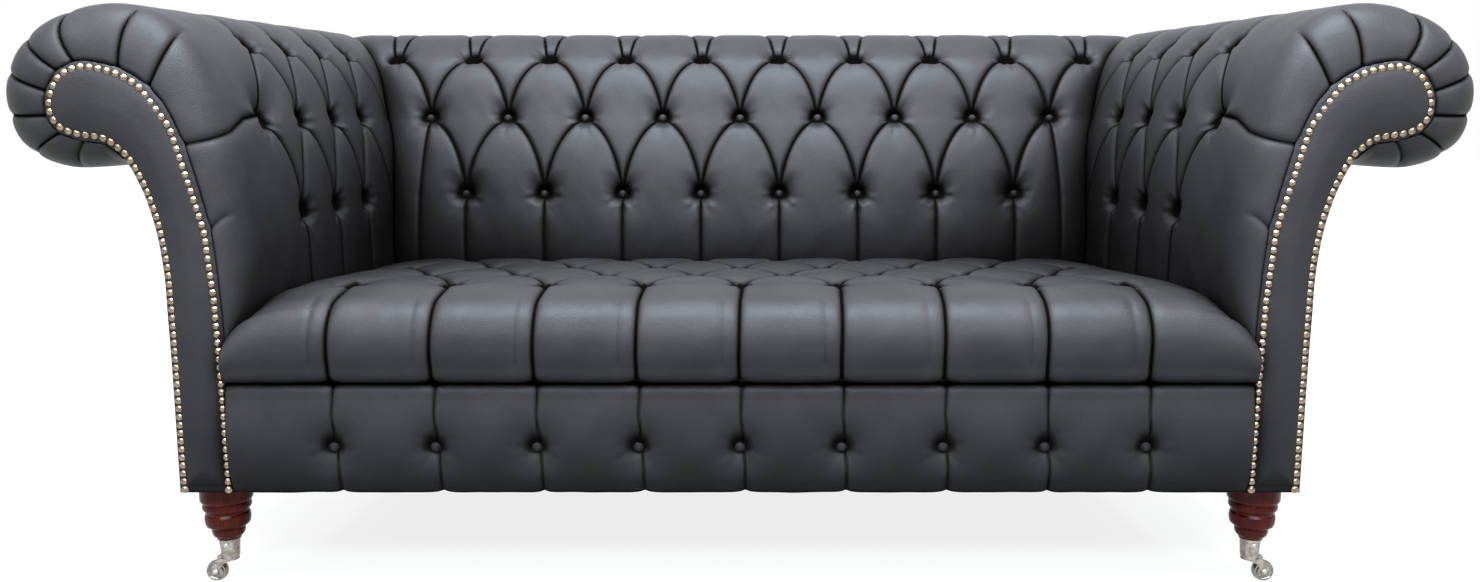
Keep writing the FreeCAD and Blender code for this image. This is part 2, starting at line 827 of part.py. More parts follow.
def make_back_ribs():
    """Upright boards cut to the section of the back, notched for the rails that cross them."""
    rear = outside_back_d - panel_depth - fit_gap
    heads = [(lv.back_former + soft_gap * 2, lv.former_z) for lv in LEVELS[1:TOP_ROW + 1]]
    centre_d, centre_z = back_head()
    for lv in LEVELS[FIRST_ROLL_LEVEL:-1]:
        length, way = unit((centre_d, centre_z), (lv.back_former, lv.former_z))
        heads.append((centre_d + way[0] * (length - 2 * soft_gap), centre_z + way[1] * (length - 2 * soft_gap)))
    front = back_rail_d() + rail_depth + fit_gap
    foot = rail_top_z + fit_gap
    outline = [(front, rail_foot_z), (front, foot), (heads[0][0], foot)] + heads
    outline += [(rear, LEVELS[-1].former_z + 2 * soft_gap), (rear, foot), (rear - rail_depth - fit_gap, foot),
                (rear - rail_depth - fit_gap, rail_foot_z)]
    crossing = [make_back_top_rail(), make_back_tack_rail()]
    solids = []
    for x in [-b for b in rib_x()] + rib_x():
        points = [at(x - rib_width / 2, d, z) for d, z in outline]
        rib = prism(points, V(rib_width, 0, 0))
        for rail in crossing:
            rib = rib.cut(rail)
        solids.append(rib)
    return solids


# Springs, hessian, webbing and dust cover

def spring_reach():
    """Front and rear ends of the springs behind the facings, over the middle of the rails."""
    front = border_depth - border_crown + soft_gap + rail_depth / 2
    return front, back_rail_d() + rail_depth / 2


def spring_z():
    return seat_floor_z - hessian_depth - spring_wire / 2 - 0.6


def make_springs():
    """Zigzag springs laid flat from the front rail to the back rail."""
    front, rear = spring_reach()
    z = spring_z()
    turns = int((rear - front) / spring_pitch)
    pitch = (rear - front) / turns
    solids = []
    for x in spread(spring_count, seat_pitch()):
        edges = []
        r = pitch / 4
        half = spring_width / 2 - r
        d, side = front, 1
        last = at(x - half, d, z)
        for _ in range(2 * turns):
            far = at(x + side * half, d, z)
            edges.append(line(last, far))
            last = at(x + side * half, d + 2 * r, z)
            edges.append(arc(far, at(x + side * (half + r), d + r, z), last))
            d += 2 * r
            side = -side
        edges.append(line(last, at(x + side * half, d, z)))
        path = Part.Wire(edges)
        ring = Part.Wire([Part.makeCircle(spring_wire / 2, at(x - half, front, z), V(1, 0, 0))])
        solids.append(path.makePipeShell([ring], True, True))
    return solids


def make_clips():
    """Steel clips over each spring's ends on the two rails."""
    solids = []
    z = rail_top_z
    rise = spring_z() + spring_wire / 2 - z
    top = rise + clip_thickness
    for x in spread(spring_count, seat_pitch()):
        for d in spring_reach():
            half = spring_wire / 2 + 0.3
            outline = [(half, 0.0), (half + 9, 0.0), (half + 9, clip_thickness), (half + clip_thickness, clip_thickness),
                       (half + clip_thickness, top), (-half - clip_thickness, top), (-half - clip_thickness, 0.0),
                       (-half, 0.0), (-half, rise + 0.05), (half, rise + 0.05)]
            points = [at(x - clip_width / 2, d + a, z + b) for a, b in outline]
            solids.append(prism(points, V(clip_width, 0, 0)))
    return solids


def make_hessian():
    front, rear = spring_reach()
    d0, d1 = front + 16, rear - rail_depth / 2 - 2
    z = seat_floor_z - hessian_depth - 0.3
    corners = [(-seat_side(d0) + 2, d0), (seat_side(d0) - 2, d0), (seat_side(d1) - 2, d1), (-seat_side(d1) + 2, d1)]
    return prism([at(x, d, z) for x, d in corners], V(0, 0, hessian_depth))


def make_back_webbing():
    """Upright straps behind the inside back, from the tack rail up to the head."""
    inner = [(lv.back_former + soft_gap / 2, lv.former_z) for lv in LEVELS[1:TOP_ROW + 1]]
    inner[0] = (inner[0][0], tack_rail_top_z + 1)
    outer = [(d + webbing_depth, z - webbing_depth * 0.4) for d, z in inner]
    outer[0] = (outer[0][0], inner[0][1])
    solids = []
    half = corner_root(LEVELS[LOW_ROW])[0] - webbing_width
    for i in range(webbing_count):
        x = -half + 2 * half * i / (webbing_count - 1)
        if min(abs(abs(x) - b) for b in rib_x()) < (rib_width + webbing_width) / 2 + 1:
            continue
        points = [at(x - webbing_width / 2, d, z) for d, z in inner + outer[::-1]]
        solids.append(prism(points, V(webbing_width, 0, 0)))
    return solids


def make_dust_cover():
    d0, d1 = behind_board(), outside_back_d - panel_depth - 2 * fit_gap
    z = rail_foot_z - 0.3 - dust_cover_depth

    def half(d):
        return arm_inner_x + side_rail_inset + side_rail_width - 2.0 - splay * d
    corners = [(-half(d0), d0), (half(d0), d0), (half(d1), d1), (-half(d1), d1)]
    sheet = prism([at(x, d, z) for x, d in corners], V(0, 0, dust_cover_depth))
    for _, _, x, d in leg_places():
        sheet = sheet.cut(Part.makeCylinder(leg_top_r + 1.5, 20, at(x, d, z - 5), V(0, 0, 1)))
    return max(sheet.Solids, key=lambda solid: solid.Volume)


# Legs and castors

def turned(profile, x, d):
    """A turned solid from (radius, height) points, about the leg's axis."""
    points = [V(r, 0, z) for r, z in profile]
    wire = Part.makePolygon([V(0, 0, profile[0][1])] + points + [V(0, 0, profile[-1][1]), V(0, 0, profile[0][1])])
    solid = Part.Face(wire).revolve(V(0, 0, 0), V(0, 0, 1), 360)
    solid.translate(at(x, d, 0))
    return solid


def cup_r(z):
    """Outer radius of the castor's cup at a height."""
    share = (z - cup_foot_z) / (cup_top_z - cup_foot_z)
    return cup_foot_r + (cup_top_r - cup_foot_r) * share


def leg_profile():
    """Rings, bulb and collar of the turned leg, from the top down to its spigot in the cup."""
    r = leg_top_r
    top = rail_foot_z - 0.3
    spigot = cup_wall + 0.05
    cup = cup_top_z
    return [(r, top), (r, cup + 62), (r - 1.5, cup + 59.5), (r - 4, cup + 58), (r - 3, cup + 54),
            (r - 2.6, cup + 50), (r - 4, cup + 46.5), (r - 7, cup + 44), (r - 7.4, cup + 41.5),
            (r - 5.4, cup + 38), (r - 4.7, cup + 33), (r - 5.2, cup + 27), (r - 6.6, cup + 22.5),
            (r - 10.5, cup + 19.5), (r - 13.5, cup + 17.5), (r - 13.2, cup + 14), (r - 14, cup + 9),
            (r - 15.6, cup + 6), (r - 19, cup + 3), (r - 19.6, cup + cup_rim_rise * 0.5 + 0.3),
            (cup_r(cup) - spigot, cup + cup_rim_rise * 0.5 + 0.3), (cup_r(leg_foot_z) - spigot, leg_foot_z)]


def make_leg(x, d):
    leg = turned(leg_profile(), x, d)
    leg = leg.cut(bolt_hole(x, d, running_fit))
    socket = pintle_top_z + 2 - leg_foot_z
    return leg.cut(Part.makeCylinder(pintle_r + 0.6, socket, at(x, d, leg_foot_z), V(0, 0, 1)))


def make_leg_bolts():
    return [bolt_hole(x, d, 0) for _, _, x, d in leg_places()]


def screw_places(x, d):
    """Two screws through each cup, front and rear."""
    z = (cup_top_z + leg_foot_z) / 2 + 3
    return [(at(x, d + way * (cup_r(z) + 0.2), z), V(0, -way, 0)) for way in (-1, 1)]


def make_castor_cup(x, d):
    inner_foot = leg_foot_z - 0.3
    outer = [(cup_foot_r, cup_foot_z), (cup_top_r, cup_top_z - 1.0), (cup_top_r + cup_rim, cup_top_z),
             (cup_top_r + cup_rim, cup_top_z + 0.5), (cup_top_r + cup_rim - 0.8, cup_top_z + cup_rim_rise * 0.5)]
    cup = turned(outer, x, d)
    hollow = [(cup_r(inner_foot) - cup_wall, inner_foot), (cup_r(cup_top_z) - cup_wall, cup_top_z),
              (cup_r(cup_top_z) - cup_wall, cup_top_z + cup_rim_rise)]
    cup = cup.cut(turned(hollow, x, d))
    cup = cup.cut(Part.makeCylinder(pintle_r + running_fit, 20, at(x, d, cup_foot_z - 1), V(0, 0, 1)))
    for point, way in screw_places(x, d):
        cup = cup.cut(Part.makeCylinder(cup_screw_r, 6, point - way, way))
    return cup


def make_cup_screws():
    """Small round-headed screws that hold the cups on the legs."""
    solids = []
    for _, _, x, d in leg_places():
        for point, way in screw_places(x, d):
            shank = Part.makeCylinder(cup_screw_r, cup_screw_length, point, way)
            head = Part.makeCone(cup_screw_r * 1.9, cup_screw_r * 1.1, 1.1, point, way * -1)
            solids.append(shank.fuse(head).removeSplitter())
    return solids


def castor_turn(x, d, side):
    """Placement that turns a castor made along +X so that it trails to its own side."""
    return FreeCAD.Placement(at(x, d, 0), FreeCAD.Rotation(V(0, 0, 1), 0 if side > 0 else 180))


def cheek_outline():
    """Side view of one cheek of the fork, trailing along +X."""
    plate = horn_plate_z
    return [V(-7, 0, plate + 0.6), V(-9, 0, plate + 2.6), V(11, 0, plate + 2.6), V(22, 0, plate - 3.0),
            V(castor_trail + 5.2, 0, wheel_r + 3.0), V(castor_trail + 3.6, 0, wheel_r - 3.6),
            V(castor_trail - 3.6, 0, wheel_r - 3.6), V(castor_trail - 5.4, 0, wheel_r + 2.0),
            V(8, 0, plate - 5.5)]


def make_castor_horn():
    """Fork that swivels under the cup: round plate, pintle and two cheeks."""
    top = cup_foot_z - horn_gap
    horn = Part.makeCylinder(horn_plate_r, top - horn_plate_z, V(0, 0, horn_plate_z))
    horn = horn.fuse(Part.makeCylinder(pintle_r, pintle_top_z - horn_plate_z, V(0, 0, horn_plate_z)))
    inner = wheel_width / 2 + wheel_gap
    for way in (-1, 1):
        outline = cheek_outline()
        start = way * inner if way > 0 else -inner - cheek_width
        points = [V(p.x, start, p.z) for p in outline]
        horn = horn.fuse(prism(points, V(0, cheek_width, 0)))
    bridge = Part.makeBox(20, 2 * inner, top - horn_plate_z - 1.2, V(-2, -inner, horn_plate_z + 1.2))
    horn = horn.fuse(bridge)
    hole = Part.makeCylinder(axle_r, 60, V(castor_trail, -30, wheel_r), V(0, 1, 0))
    return horn.cut(hole).removeSplitter()


def make_castor_axle():
    """Riveted pin with a low head on each side of the fork."""
    reach = wheel_width / 2 + wheel_gap + cheek_width
    axle = Part.makeCylinder(axle_r, 2 * reach, V(castor_trail, -reach, wheel_r), V(0, 1, 0))
    for way in (-1, 1):
        head = Part.makeCone(axle_r * 1.6, axle_r * 0.9, 1.2, V(castor_trail, way * reach, wheel_r), V(0, way, 0))
        axle = axle.fuse(head)
    return axle.removeSplitter()


def make_castor_wheel():
    """Small brass wheel with a rounded tread and dished faces."""
    half = wheel_width / 2
    r = wheel_r
    hub_r = axle_r + 2.4
    tread = arc(V(r - 1.6, -half, 0), V(r, 0, 0), V(r - 1.6, half, 0))
    dish = 1.6
    edges = [tread,
             line(V(r - 1.6, half, 0), V(r - 3.6, half, 0)),
             arc(V(r - 3.6, half, 0), V((r + hub_r) / 2 - 1.5, half - dish, 0), V(hub_r, half - 0.3, 0)),
             line(V(hub_r, half - 0.3, 0), V(axle_r + running_fit, half - 0.3, 0)),
             line(V(axle_r + running_fit, half - 0.3, 0), V(axle_r + running_fit, -half + 0.3, 0)),
             line(V(axle_r + running_fit, -half + 0.3, 0), V(hub_r, -half + 0.3, 0)),
             arc(V(hub_r, -half + 0.3, 0), V((r + hub_r) / 2 - 1.5, -half + dish, 0), V(r - 3.6, -half, 0)),
             line(V(r - 3.6, -half, 0), V(r - 1.6, -half, 0))]
    wheel = Part.Face(Part.Wire(edges)).revolve(V(0, 0, 0), V(0, 1, 0), 360)
    wheel.translate(V(castor_trail, 0, r))
    return wheel


def save_castors():
    for name, side, x, d in leg_places():
        for piece, make in (("castor_horn_", make_castor_horn), ("castor_axle_", make_castor_axle),
                            ("castor_wheel_", make_castor_wheel)):
            shape = make()
            shape.Placement = castor_turn(x, d, side).multiply(shape.Placement)
            save(piece + name, [shape])


def main():
    os.makedirs("parts", exist_ok=True)
    save("back_pad", [make_back_pad()])
    save("back_buttons", make_back_buttons())
    save("seat_cushion", [make_seat()])
    save("seat_buttons", make_seat_buttons())
    save("front_border", [make_border()])
    save("border_buttons", make_border_buttons())
    for name, side in SIDES.items():
        save("arm_pad_" + name, [make_arm_pad(side)])
        save("arm_buttons_" + name, make_arm_buttons(side))
        save("arm_facing_" + name, [make_facing(side)])
        save("facing_nails_" + name, make_nails(side))
        save("scroll_board_" + name, [make_scroll_board(side)])
        save("outside_arm_" + name, [make_outside_arm(side)])
        save("side_rail_" + name, [make_side_rail(side)])
        save("arm_rear_board_" + name, [make_arm_rear_board(side)])
        save("arm_top_rail_" + name, [make_arm_top_rail(side)])
        save("arm_tack_rail_" + name, [make_arm_tack_rail(side)])
    save("outside_back", [make_outside_back()])
    save("front_rail", [make_front_rail()])
    save("back_rail", [make_back_rail()])
    save("rear_rail", [make_rear_rail()])
    save("seat_braces", make_seat_braces())
    save("corner_blocks", make_corner_blocks())
    save("back_top_rail", [make_back_top_rail()])
    save("back_tack_rail", [make_back_tack_rail()])
    save("back_ribs", make_back_ribs())
    save("seat_springs", make_springs())
    save("spring_clips", make_clips())
    save("seat_hessian", [make_hessian()])
    save("back_webbing", make_back_webbing())
    save("dust_cover", [make_dust_cover()])
    for name, _, x, d in leg_places():
        save("leg_" + name, [make_leg(x, d)])
    save("leg_bolts", make_leg_bolts())
    save("castor_cups", [make_castor_cup(x, d) for _, _, x, d in leg_places()])
    save("cup_screws", make_cup_screws())
    save_castors()


main()
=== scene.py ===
import json
import math

import bpy
import numpy as np
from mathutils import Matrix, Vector
from mathutils.geometry import delaunay_2d_cdt


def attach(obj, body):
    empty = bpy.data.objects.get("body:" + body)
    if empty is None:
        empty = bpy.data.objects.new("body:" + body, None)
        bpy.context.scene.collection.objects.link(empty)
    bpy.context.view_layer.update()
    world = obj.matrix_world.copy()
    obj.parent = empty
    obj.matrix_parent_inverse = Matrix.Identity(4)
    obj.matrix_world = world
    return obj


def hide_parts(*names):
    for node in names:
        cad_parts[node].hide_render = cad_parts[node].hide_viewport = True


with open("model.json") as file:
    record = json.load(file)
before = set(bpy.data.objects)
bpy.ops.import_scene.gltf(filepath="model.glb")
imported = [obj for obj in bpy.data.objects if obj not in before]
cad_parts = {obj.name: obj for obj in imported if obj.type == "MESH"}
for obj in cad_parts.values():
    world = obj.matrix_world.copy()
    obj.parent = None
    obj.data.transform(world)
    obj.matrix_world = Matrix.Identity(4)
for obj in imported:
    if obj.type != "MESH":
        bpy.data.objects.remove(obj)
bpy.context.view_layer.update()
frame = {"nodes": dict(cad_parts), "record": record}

bl_info = {
    "name": "Chesterfield sofa",
    "version": (1, 0, 0),
    "blender": (4, 5, 0),
    "location": "3D View > Sidebar > Sofa",
    "description": "Upholsters a deep-buttoned sofa around its frame",
    "category": "Object",
}

BODY = "sofa_body"
SIDES = {"left": -1, "right": 1}

# Sizes of the frame in millimetres, shared by all the pieces. d is measured back from the facings.
FRONT_Y = -437.0
SPLAY = math.tan(math.radians(5.0))
ARM_INNER = 707.25
ROLL_REAR = 892.0
UNDERSIDE = 157.0
SEAT_FLOOR = 317.5

# Levels of the arm's and the back's section, from the seat up and round the rolls.
# Columns: height of the leather, height of the wooden former, then outward from the facing's inner edge
# for the arm's leather and former, and forward of the roll's rearmost line for the back's.
LEVELS = np.array([
    (330, 330, -25, 0, 307, 252),
    (430, 430, -25, 2, 317, 252),
    (528, 528, -23, 9, 302, 242),
    (668, 668, -2, 45, 254, 195),
    (790, 724, 51, 83, 195, 150),
    (822, 738, 94, 104, 147, 135),
    (831, 749, 143, 133, 100, 110),
    (827, 752, 180, 150, 72, 98),
    (818, 753, 213, 165, 47, 86),
    (802, 748, 243, 183, 28, 76),
    (780, 739, 268, 198, 14, 68),
    (750, 721, 288, 211, 4, 63),
    (715, 700, 298, 218, 0, 60),
    (677, 681, 295, 217, 2, 61),
    (643, 665, 281, 209, 12, 66),
    (621, 656, 254, 198, 29, 74),
    (610, 650, 220, 183, 52, 84),
    (614, 642, 143, 141, 97, 105),
], dtype=float)
LOW, MIDDLE, TOP, ROLL = 2, 3, 4, 5
LAST = len(LEVELS) - 1
OUTER_EDGE = [(133, 636), (119, 624), (101, 590), (86, 540), (78, 480), (77, 400), (79, UNDERSIDE)]

# Buttons
BACK_COLUMNS, BACK_PITCH = 10, 145.95
ARM_COLUMNS, ARM_PITCH, ARM_FIRST = 4, 116.0, 170.0
SEAT_COLUMNS, SEAT_PITCH = 9, 140.56
SEAT_ROWS = (105.0, 245.0, 385.0, 525.0)
BUTTON_R = 8.5

# Rows that close the leather's last edge in to the former, and those that meet the outside panel
TUCK_ROWS = 7
MEETING_ROWS = 8


class SofaSizes(bpy.types.PropertyGroup):
    mesh_step: bpy.props.FloatProperty(
        name="Mesh step", description="Distance between the points of the leather meshes, in millimetres",
        default=2.8, min=2.0, max=12.0)
    back_tuft: bpy.props.FloatProperty(
        name="Back tufts", description="Depth of the buttons in the back, in millimetres", default=27.0)
    arm_tuft: bpy.props.FloatProperty(
        name="Arm tufts", description="Depth of the buttons in the arms, in millimetres", default=27.0)
    seat_tuft: bpy.props.FloatProperty(
        name="Seat tufts", description="Depth of the buttons in the seat, in millimetres", default=20.0)
    border_tuft: bpy.props.FloatProperty(
        name="Border tufts", description="Depth of the buttons in the border, in millimetres", default=14.5)
    hide_thickness: bpy.props.FloatProperty(
        name="Hide thickness", description="Thickness of the leather", default=0.002, unit="LENGTH")


class SofaColours(bpy.types.PropertyGroup):
    hide: bpy.props.FloatVectorProperty(
        name="Hide", description="Colour of the leather", subtype="COLOR", size=3,
        default=(0.0185, 0.0180, 0.0195), min=0, max=1)
    # painted shade: the near-black colour given to hollows, crease lines and button pits
    hide_painted_shade: bpy.props.FloatVectorProperty(
        name="Hide in the folds", description="Colour of the leather deep in the tufts", subtype="COLOR",
        size=3, default=(0.0016, 0.0013, 0.0013), min=0, max=1)
    nails: bpy.props.FloatVectorProperty(
        name="Nails", description="Colour of the nail heads", subtype="COLOR", size=3,
        default=(0.27, 0.205, 0.145), min=0, max=1)
    legs: bpy.props.FloatVectorProperty(
        name="Legs", description="Colour of the polished legs", subtype="COLOR", size=3,
        default=(0.030, 0.0030, 0.0015), min=0, max=1)
    floor: bpy.props.FloatVectorProperty(
        name="Floor", description="Colour of the floor", subtype="COLOR", size=3,
        default=(0.20, 0.20, 0.20), min=0, max=1)


# Section curves

def smooth_through(knots, values, places):
    """Smooth curve through values given at knots, read off at places."""
    gaps = np.diff(knots)
    slopes = np.diff(values, axis=0) / gaps[:, None]
    tangents = np.empty_like(values)
    tangents[0], tangents[-1] = slopes[0], slopes[-1]
    before, after = gaps[:-1, None], gaps[1:, None]
    tangents[1:-1] = (slopes[:-1] * after + slopes[1:] * before) / (before + after)
    i = np.clip(np.searchsorted(knots, places, side="right") - 1, 0, len(gaps) - 1)
    h = gaps[i][:, None]
    t = ((places - knots[i]) / gaps[i])[:, None]
    return (values[i] * (2 * t ** 3 - 3 * t ** 2 + 1) + tangents[i] * h * (t ** 3 - 2 * t ** 2 + t)
            + values[i + 1] * (3 * t ** 2 - 2 * t ** 3) + tangents[i + 1] * h * (t ** 3 - t ** 2))


def chords(points):
    """Distance along a chain of points."""
    return np.concatenate([[0.0], np.cumsum(np.linalg.norm(np.diff(points, axis=0), axis=1))])


class Section:
    """The shared section of the arms and the back, sampled closely."""

    def __init__(self, step):
        arm = chords(LEVELS[:, [2, 0]])
        back = chords(LEVELS[:, [4, 0]])
        knots = (arm + back) / 2
        count = int(knots[-1] / step)
        places = np.linspace(0, knots[-1], count)
        self.level = np.interp(places, knots, np.arange(len(LEVELS)))
        rows = smooth_through(knots, LEVELS, places)
        self.crown_z, self.former_z = rows[:, 0], rows[:, 1]
        self.arm_crown, self.arm_former = rows[:, 2], rows[:, 3]
        self.back_crown, self.back_former = ROLL_REAR - rows[:, 4], ROLL_REAR - rows[:, 5]
        self.arm_s = chords(np.stack([self.arm_crown, self.crown_z], 1))
        self.back_s = chords(np.stack([self.back_crown, self.crown_z], 1))

    def s_at(self, level, along):
        return float(np.interp(level, self.level, along))


# Depth of the creases and tufts over a sheet of leather

class Tufting:
    """Collects how far the leather is drawn in, over sheet coordinates u (along) and v (up)."""

    def __init__(self, u, v):
        self.u, self.v = u, v
        self.depth = np.zeros_like(u)
        # line gathers a mask of painted shade along the crease lines and in the button pits
        self.line = np.zeros_like(u)
        self.ripple = np.zeros_like(u)

    def crease(self, points, depths, width, line_share=0.5, line_width=2.5):
        """A crease: a narrow line in a broad hollow, with painted shade along the line. line_share is the
        part of its depth that lies in the fold.
        """
        best, painted_fold_shade = np.zeros_like(self.u), np.zeros_like(self.u)
        reach = width * 4.5
        for (p, q, a, b) in zip(points, points[1:], depths, depths[1:]):
            near = ((self.u > min(p[0], q[0]) - reach) & (self.u < max(p[0], q[0]) + reach)
                    & (self.v > min(p[1], q[1]) - reach) & (self.v < max(p[1], q[1]) + reach))
            if not near.any():
                continue
            du, dv = q[0] - p[0], q[1] - p[1]
            ru, rv = self.u[near] - p[0], self.v[near] - p[1]
            t = np.clip((ru * du + rv * dv) / max(du * du + dv * dv, 1e-9), 0, 1)
            away = np.hypot(ru - t * du, rv - t * dv)
            deep = a + (b - a) * t
            hollow = np.exp(-(np.sqrt(away ** 2 + 9.0) - 3.0) / width)
            line = np.exp(-(np.sqrt(away ** 2 + 1.4) - 1.2) / line_width)
            best[near] = np.maximum(best[near], deep * ((1 - line_share) * hollow + line_share * line))
            # painted shade along the fold line, darker where the crease is deeper
            painted_fold_shade[near] = np.maximum(painted_fold_shade[near], line * np.minimum(deep / 6.0, 1.0))
        self.depth = (self.depth ** 5 + best ** 5) ** (1 / 5)
        self.line = np.maximum(self.line, painted_fold_shade)

    def arched(self, low, high, low_depth, middle_depth, high_depth, width, bend=0.75):
        """A crease from a button up to the next one, steep at first and then arched over."""
        points, depths = [], []
        for i in range(11):
            t = i / 10
            across = bend * (1 - math.cos(t * math.pi / 2)) + (1 - bend) * t
            up = bend * math.sin(t * math.pi / 2) + (1 - bend) * t
            points.append((low[0] + (high[0] - low[0]) * across, low[1] + (high[1] - low[1]) * up))
            end = low_depth if t < 0.5 else high_depth
            depths.append(middle_depth + (end - middle_depth) * abs(2 * t - 1) ** 2.2)
        self.crease(points, depths, width)

    def button(self, place, depth, above=26.0, beside=13.0, below=7.0):
        """A button at the foot of its pit: the leather hangs over it and stands up steeply below it."""
        du, dv = self.u - place[0], self.v - place[1]
        fall = np.where(dv > 0, above, below)
        radius = BUTTON_R + 0.5
        away = np.hypot(du, dv)
        share = np.clip(np.abs(dv) / np.maximum(away, 1e-6), 0, 1)
        width = beside + (fall - beside) * share ** 2
        drawn = depth * np.exp(-np.maximum(away - radius, 0) / width)
        angle = np.arctan2(dv, du)
        phase = place[0] * 0.37 + place[1] * 0.21
        pucker = np.cos(angle * 7 + phase) + 0.7 * np.cos(angle * 11 - phase * 1.7)
        self.ripple += pucker * np.exp(-((away - 22) / 11) ** 2) * min(depth / 27, 1) * 0.9
        self.depth = np.maximum(self.depth, np.minimum(drawn, depth))
        # painted shade: a dark patch round the button, reaching higher above it than below, added to the
        # shade mask
        tall = np.hypot(du * 1.15, np.where(dv > 0, dv * 0.8, dv * 2.2))
        dark = np.exp(-(np.maximum(tall - radius, 0) / 15) ** 2) * min(depth / 20, 1)
        self.line = np.maximum(self.line, dark)

    def settled(self, deepest):
        """The depth, no deeper than the buttons, with its sharpest turns rounded off."""
        u, v = self.u, self.v
        loose = (np.sin(u / 19 + 1.7 * np.sin(v / 43)) * np.sin(v / 31 + 1.3 * np.sin(u / 57))
                 + 0.6 * np.sin(u / 8.3 + 2.1 * np.sin(v / 29)) * np.sin(v / 27 + u / 71))
        filled = np.clip(1 - self.depth / deepest, 0, 1)
        depth = np.minimum(self.depth, deepest) + (self.ripple + 0.35 * loose) * filled
        around = depth.copy()
        around[1:-1, 1:-1] = (depth[1:-1, 1:-1] * 8 + depth[:-2, 1:-1] + depth[2:, 1:-1]
                              + depth[1:-1, :-2] + depth[1:-1, 2:]) / 12
        return around


# Meshes

def sheet_mesh(name, points, fold, flip, thickness, material):
    """A leather piece from a grid of points in millimetres, with its thickness."""
    rows, columns = points.shape[:2]
    index = np.arange(rows * columns).reshape(rows, columns)
    a, b = index[:-1, :-1].ravel(), index[:-1, 1:].ravel()
    c, d = index[1:, 1:].ravel(), index[1:, :-1].ravel()
    faces = np.stack([a, d, c, b] if flip else [a, b, c, d], 1)
    mesh = bpy.data.meshes.new(name)
    mesh.from_pydata((points.reshape(-1, 3) / 1000).tolist(), [], faces.tolist())
    # the fold attribute carries the mask of painted shade in the creases and button pits
    attribute = mesh.attributes.new("fold", "FLOAT", "POINT")
    attribute.data.foreach_set("value", np.clip(fold, 0, 1).astype(np.float32).ravel())
    mesh.shade_smooth()
    obj = bpy.data.objects.new(name, mesh)
    bpy.context.scene.collection.objects.link(obj)
    mesh.materials.append(material)
    solid = obj.modifiers.new("Hide", "SOLIDIFY")
    solid.thickness = thickness
    solid.offset = -1
    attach(obj, BODY)
    return obj


def pad_piece(name, points, fold, flip, node):
    """A leather sheet over its stuffing, in place of the frame's solid pad."""
    sizes = bpy.context.scene.sofa_sizes
    obj = sheet_mesh(name, points, fold, flip, sizes.hide_thickness, leather())
    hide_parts(node)
    return obj


# Materials

def new_material(name):
    """A new material and its shader, or the one made before and None."""
    material = bpy.data.materials.get(name)
    if material:
        return material, None
    material = bpy.data.materials.new(name)
    material.use_nodes = True
    return material, material.node_tree.nodes["Principled BSDF"]


class Tree:
    """Short hand for building the nodes of a material or a world."""

    def __init__(self, owner):
        self.nodes, self.links = owner.node_tree.nodes, owner.node_tree.links

    def add(self, kind, **values):
        node = self.nodes.new(kind)
        for key, value in values.items():
            if key in node.bl_rna.properties:
                setattr(node, key, value)
            else:
                node.inputs[key.replace("_", " ")].default_value = value
        return node

    def link(self, a, b):
        self.links.new(a, b)

    def ramp(self, source, stops):
        node = self.nodes.new("ShaderNodeValToRGB")
        elements = node.color_ramp.elements
        while len(elements) < len(stops):
            elements.new(0.5)
        for element, (place, colour) in zip(elements, stops):
            element.position = place
            element.color = (*colour, 1) if len(colour) == 3 else colour
        self.link(source, node.inputs["Fac"])
        return node.outputs["Color"]

    def mix(self, fac, a, b, blend="MIX"):
        node = self.nodes.new("ShaderNodeMix")
        node.data_type = "RGBA"
        node.blend_type = blend
        for socket, value in ((node.inputs[0], fac), (node.inputs[6], a), (node.inputs[7], b)):
            if hasattr(value, "is_output"):
                self.link(value, socket)
            elif isinstance(value, (tuple, list)):
                socket.default_value = (*value[:3], 1)
            else:
                socket.default_value = value
        return node.outputs[2]

    def seen_directly(self):
        """1 for camera, glossy and transmission rays, 0 for the light that falls on the sofa."""
        path = self.add("ShaderNodeLightPath")
        result = path.outputs["Is Camera Ray"]
        for name in ("Is Glossy Ray", "Is Transmission Ray"):
            higher = self.add("ShaderNodeMath", operation="MAXIMUM")
            self.link(result, higher.inputs[0])
            self.link(path.outputs[name], higher.inputs[1])
            result = higher.outputs[0]
        return result

    def range(self, source, low, high, to_low, to_high):
        node = self.nodes.new("ShaderNodeMapRange")
        for name, value in (("From Min", low), ("From Max", high), ("To Min", to_low), ("To Max", to_high)):
            node.inputs[name].default_value = value
        self.link(source, node.inputs["Value"])
        return node.outputs["Result"]


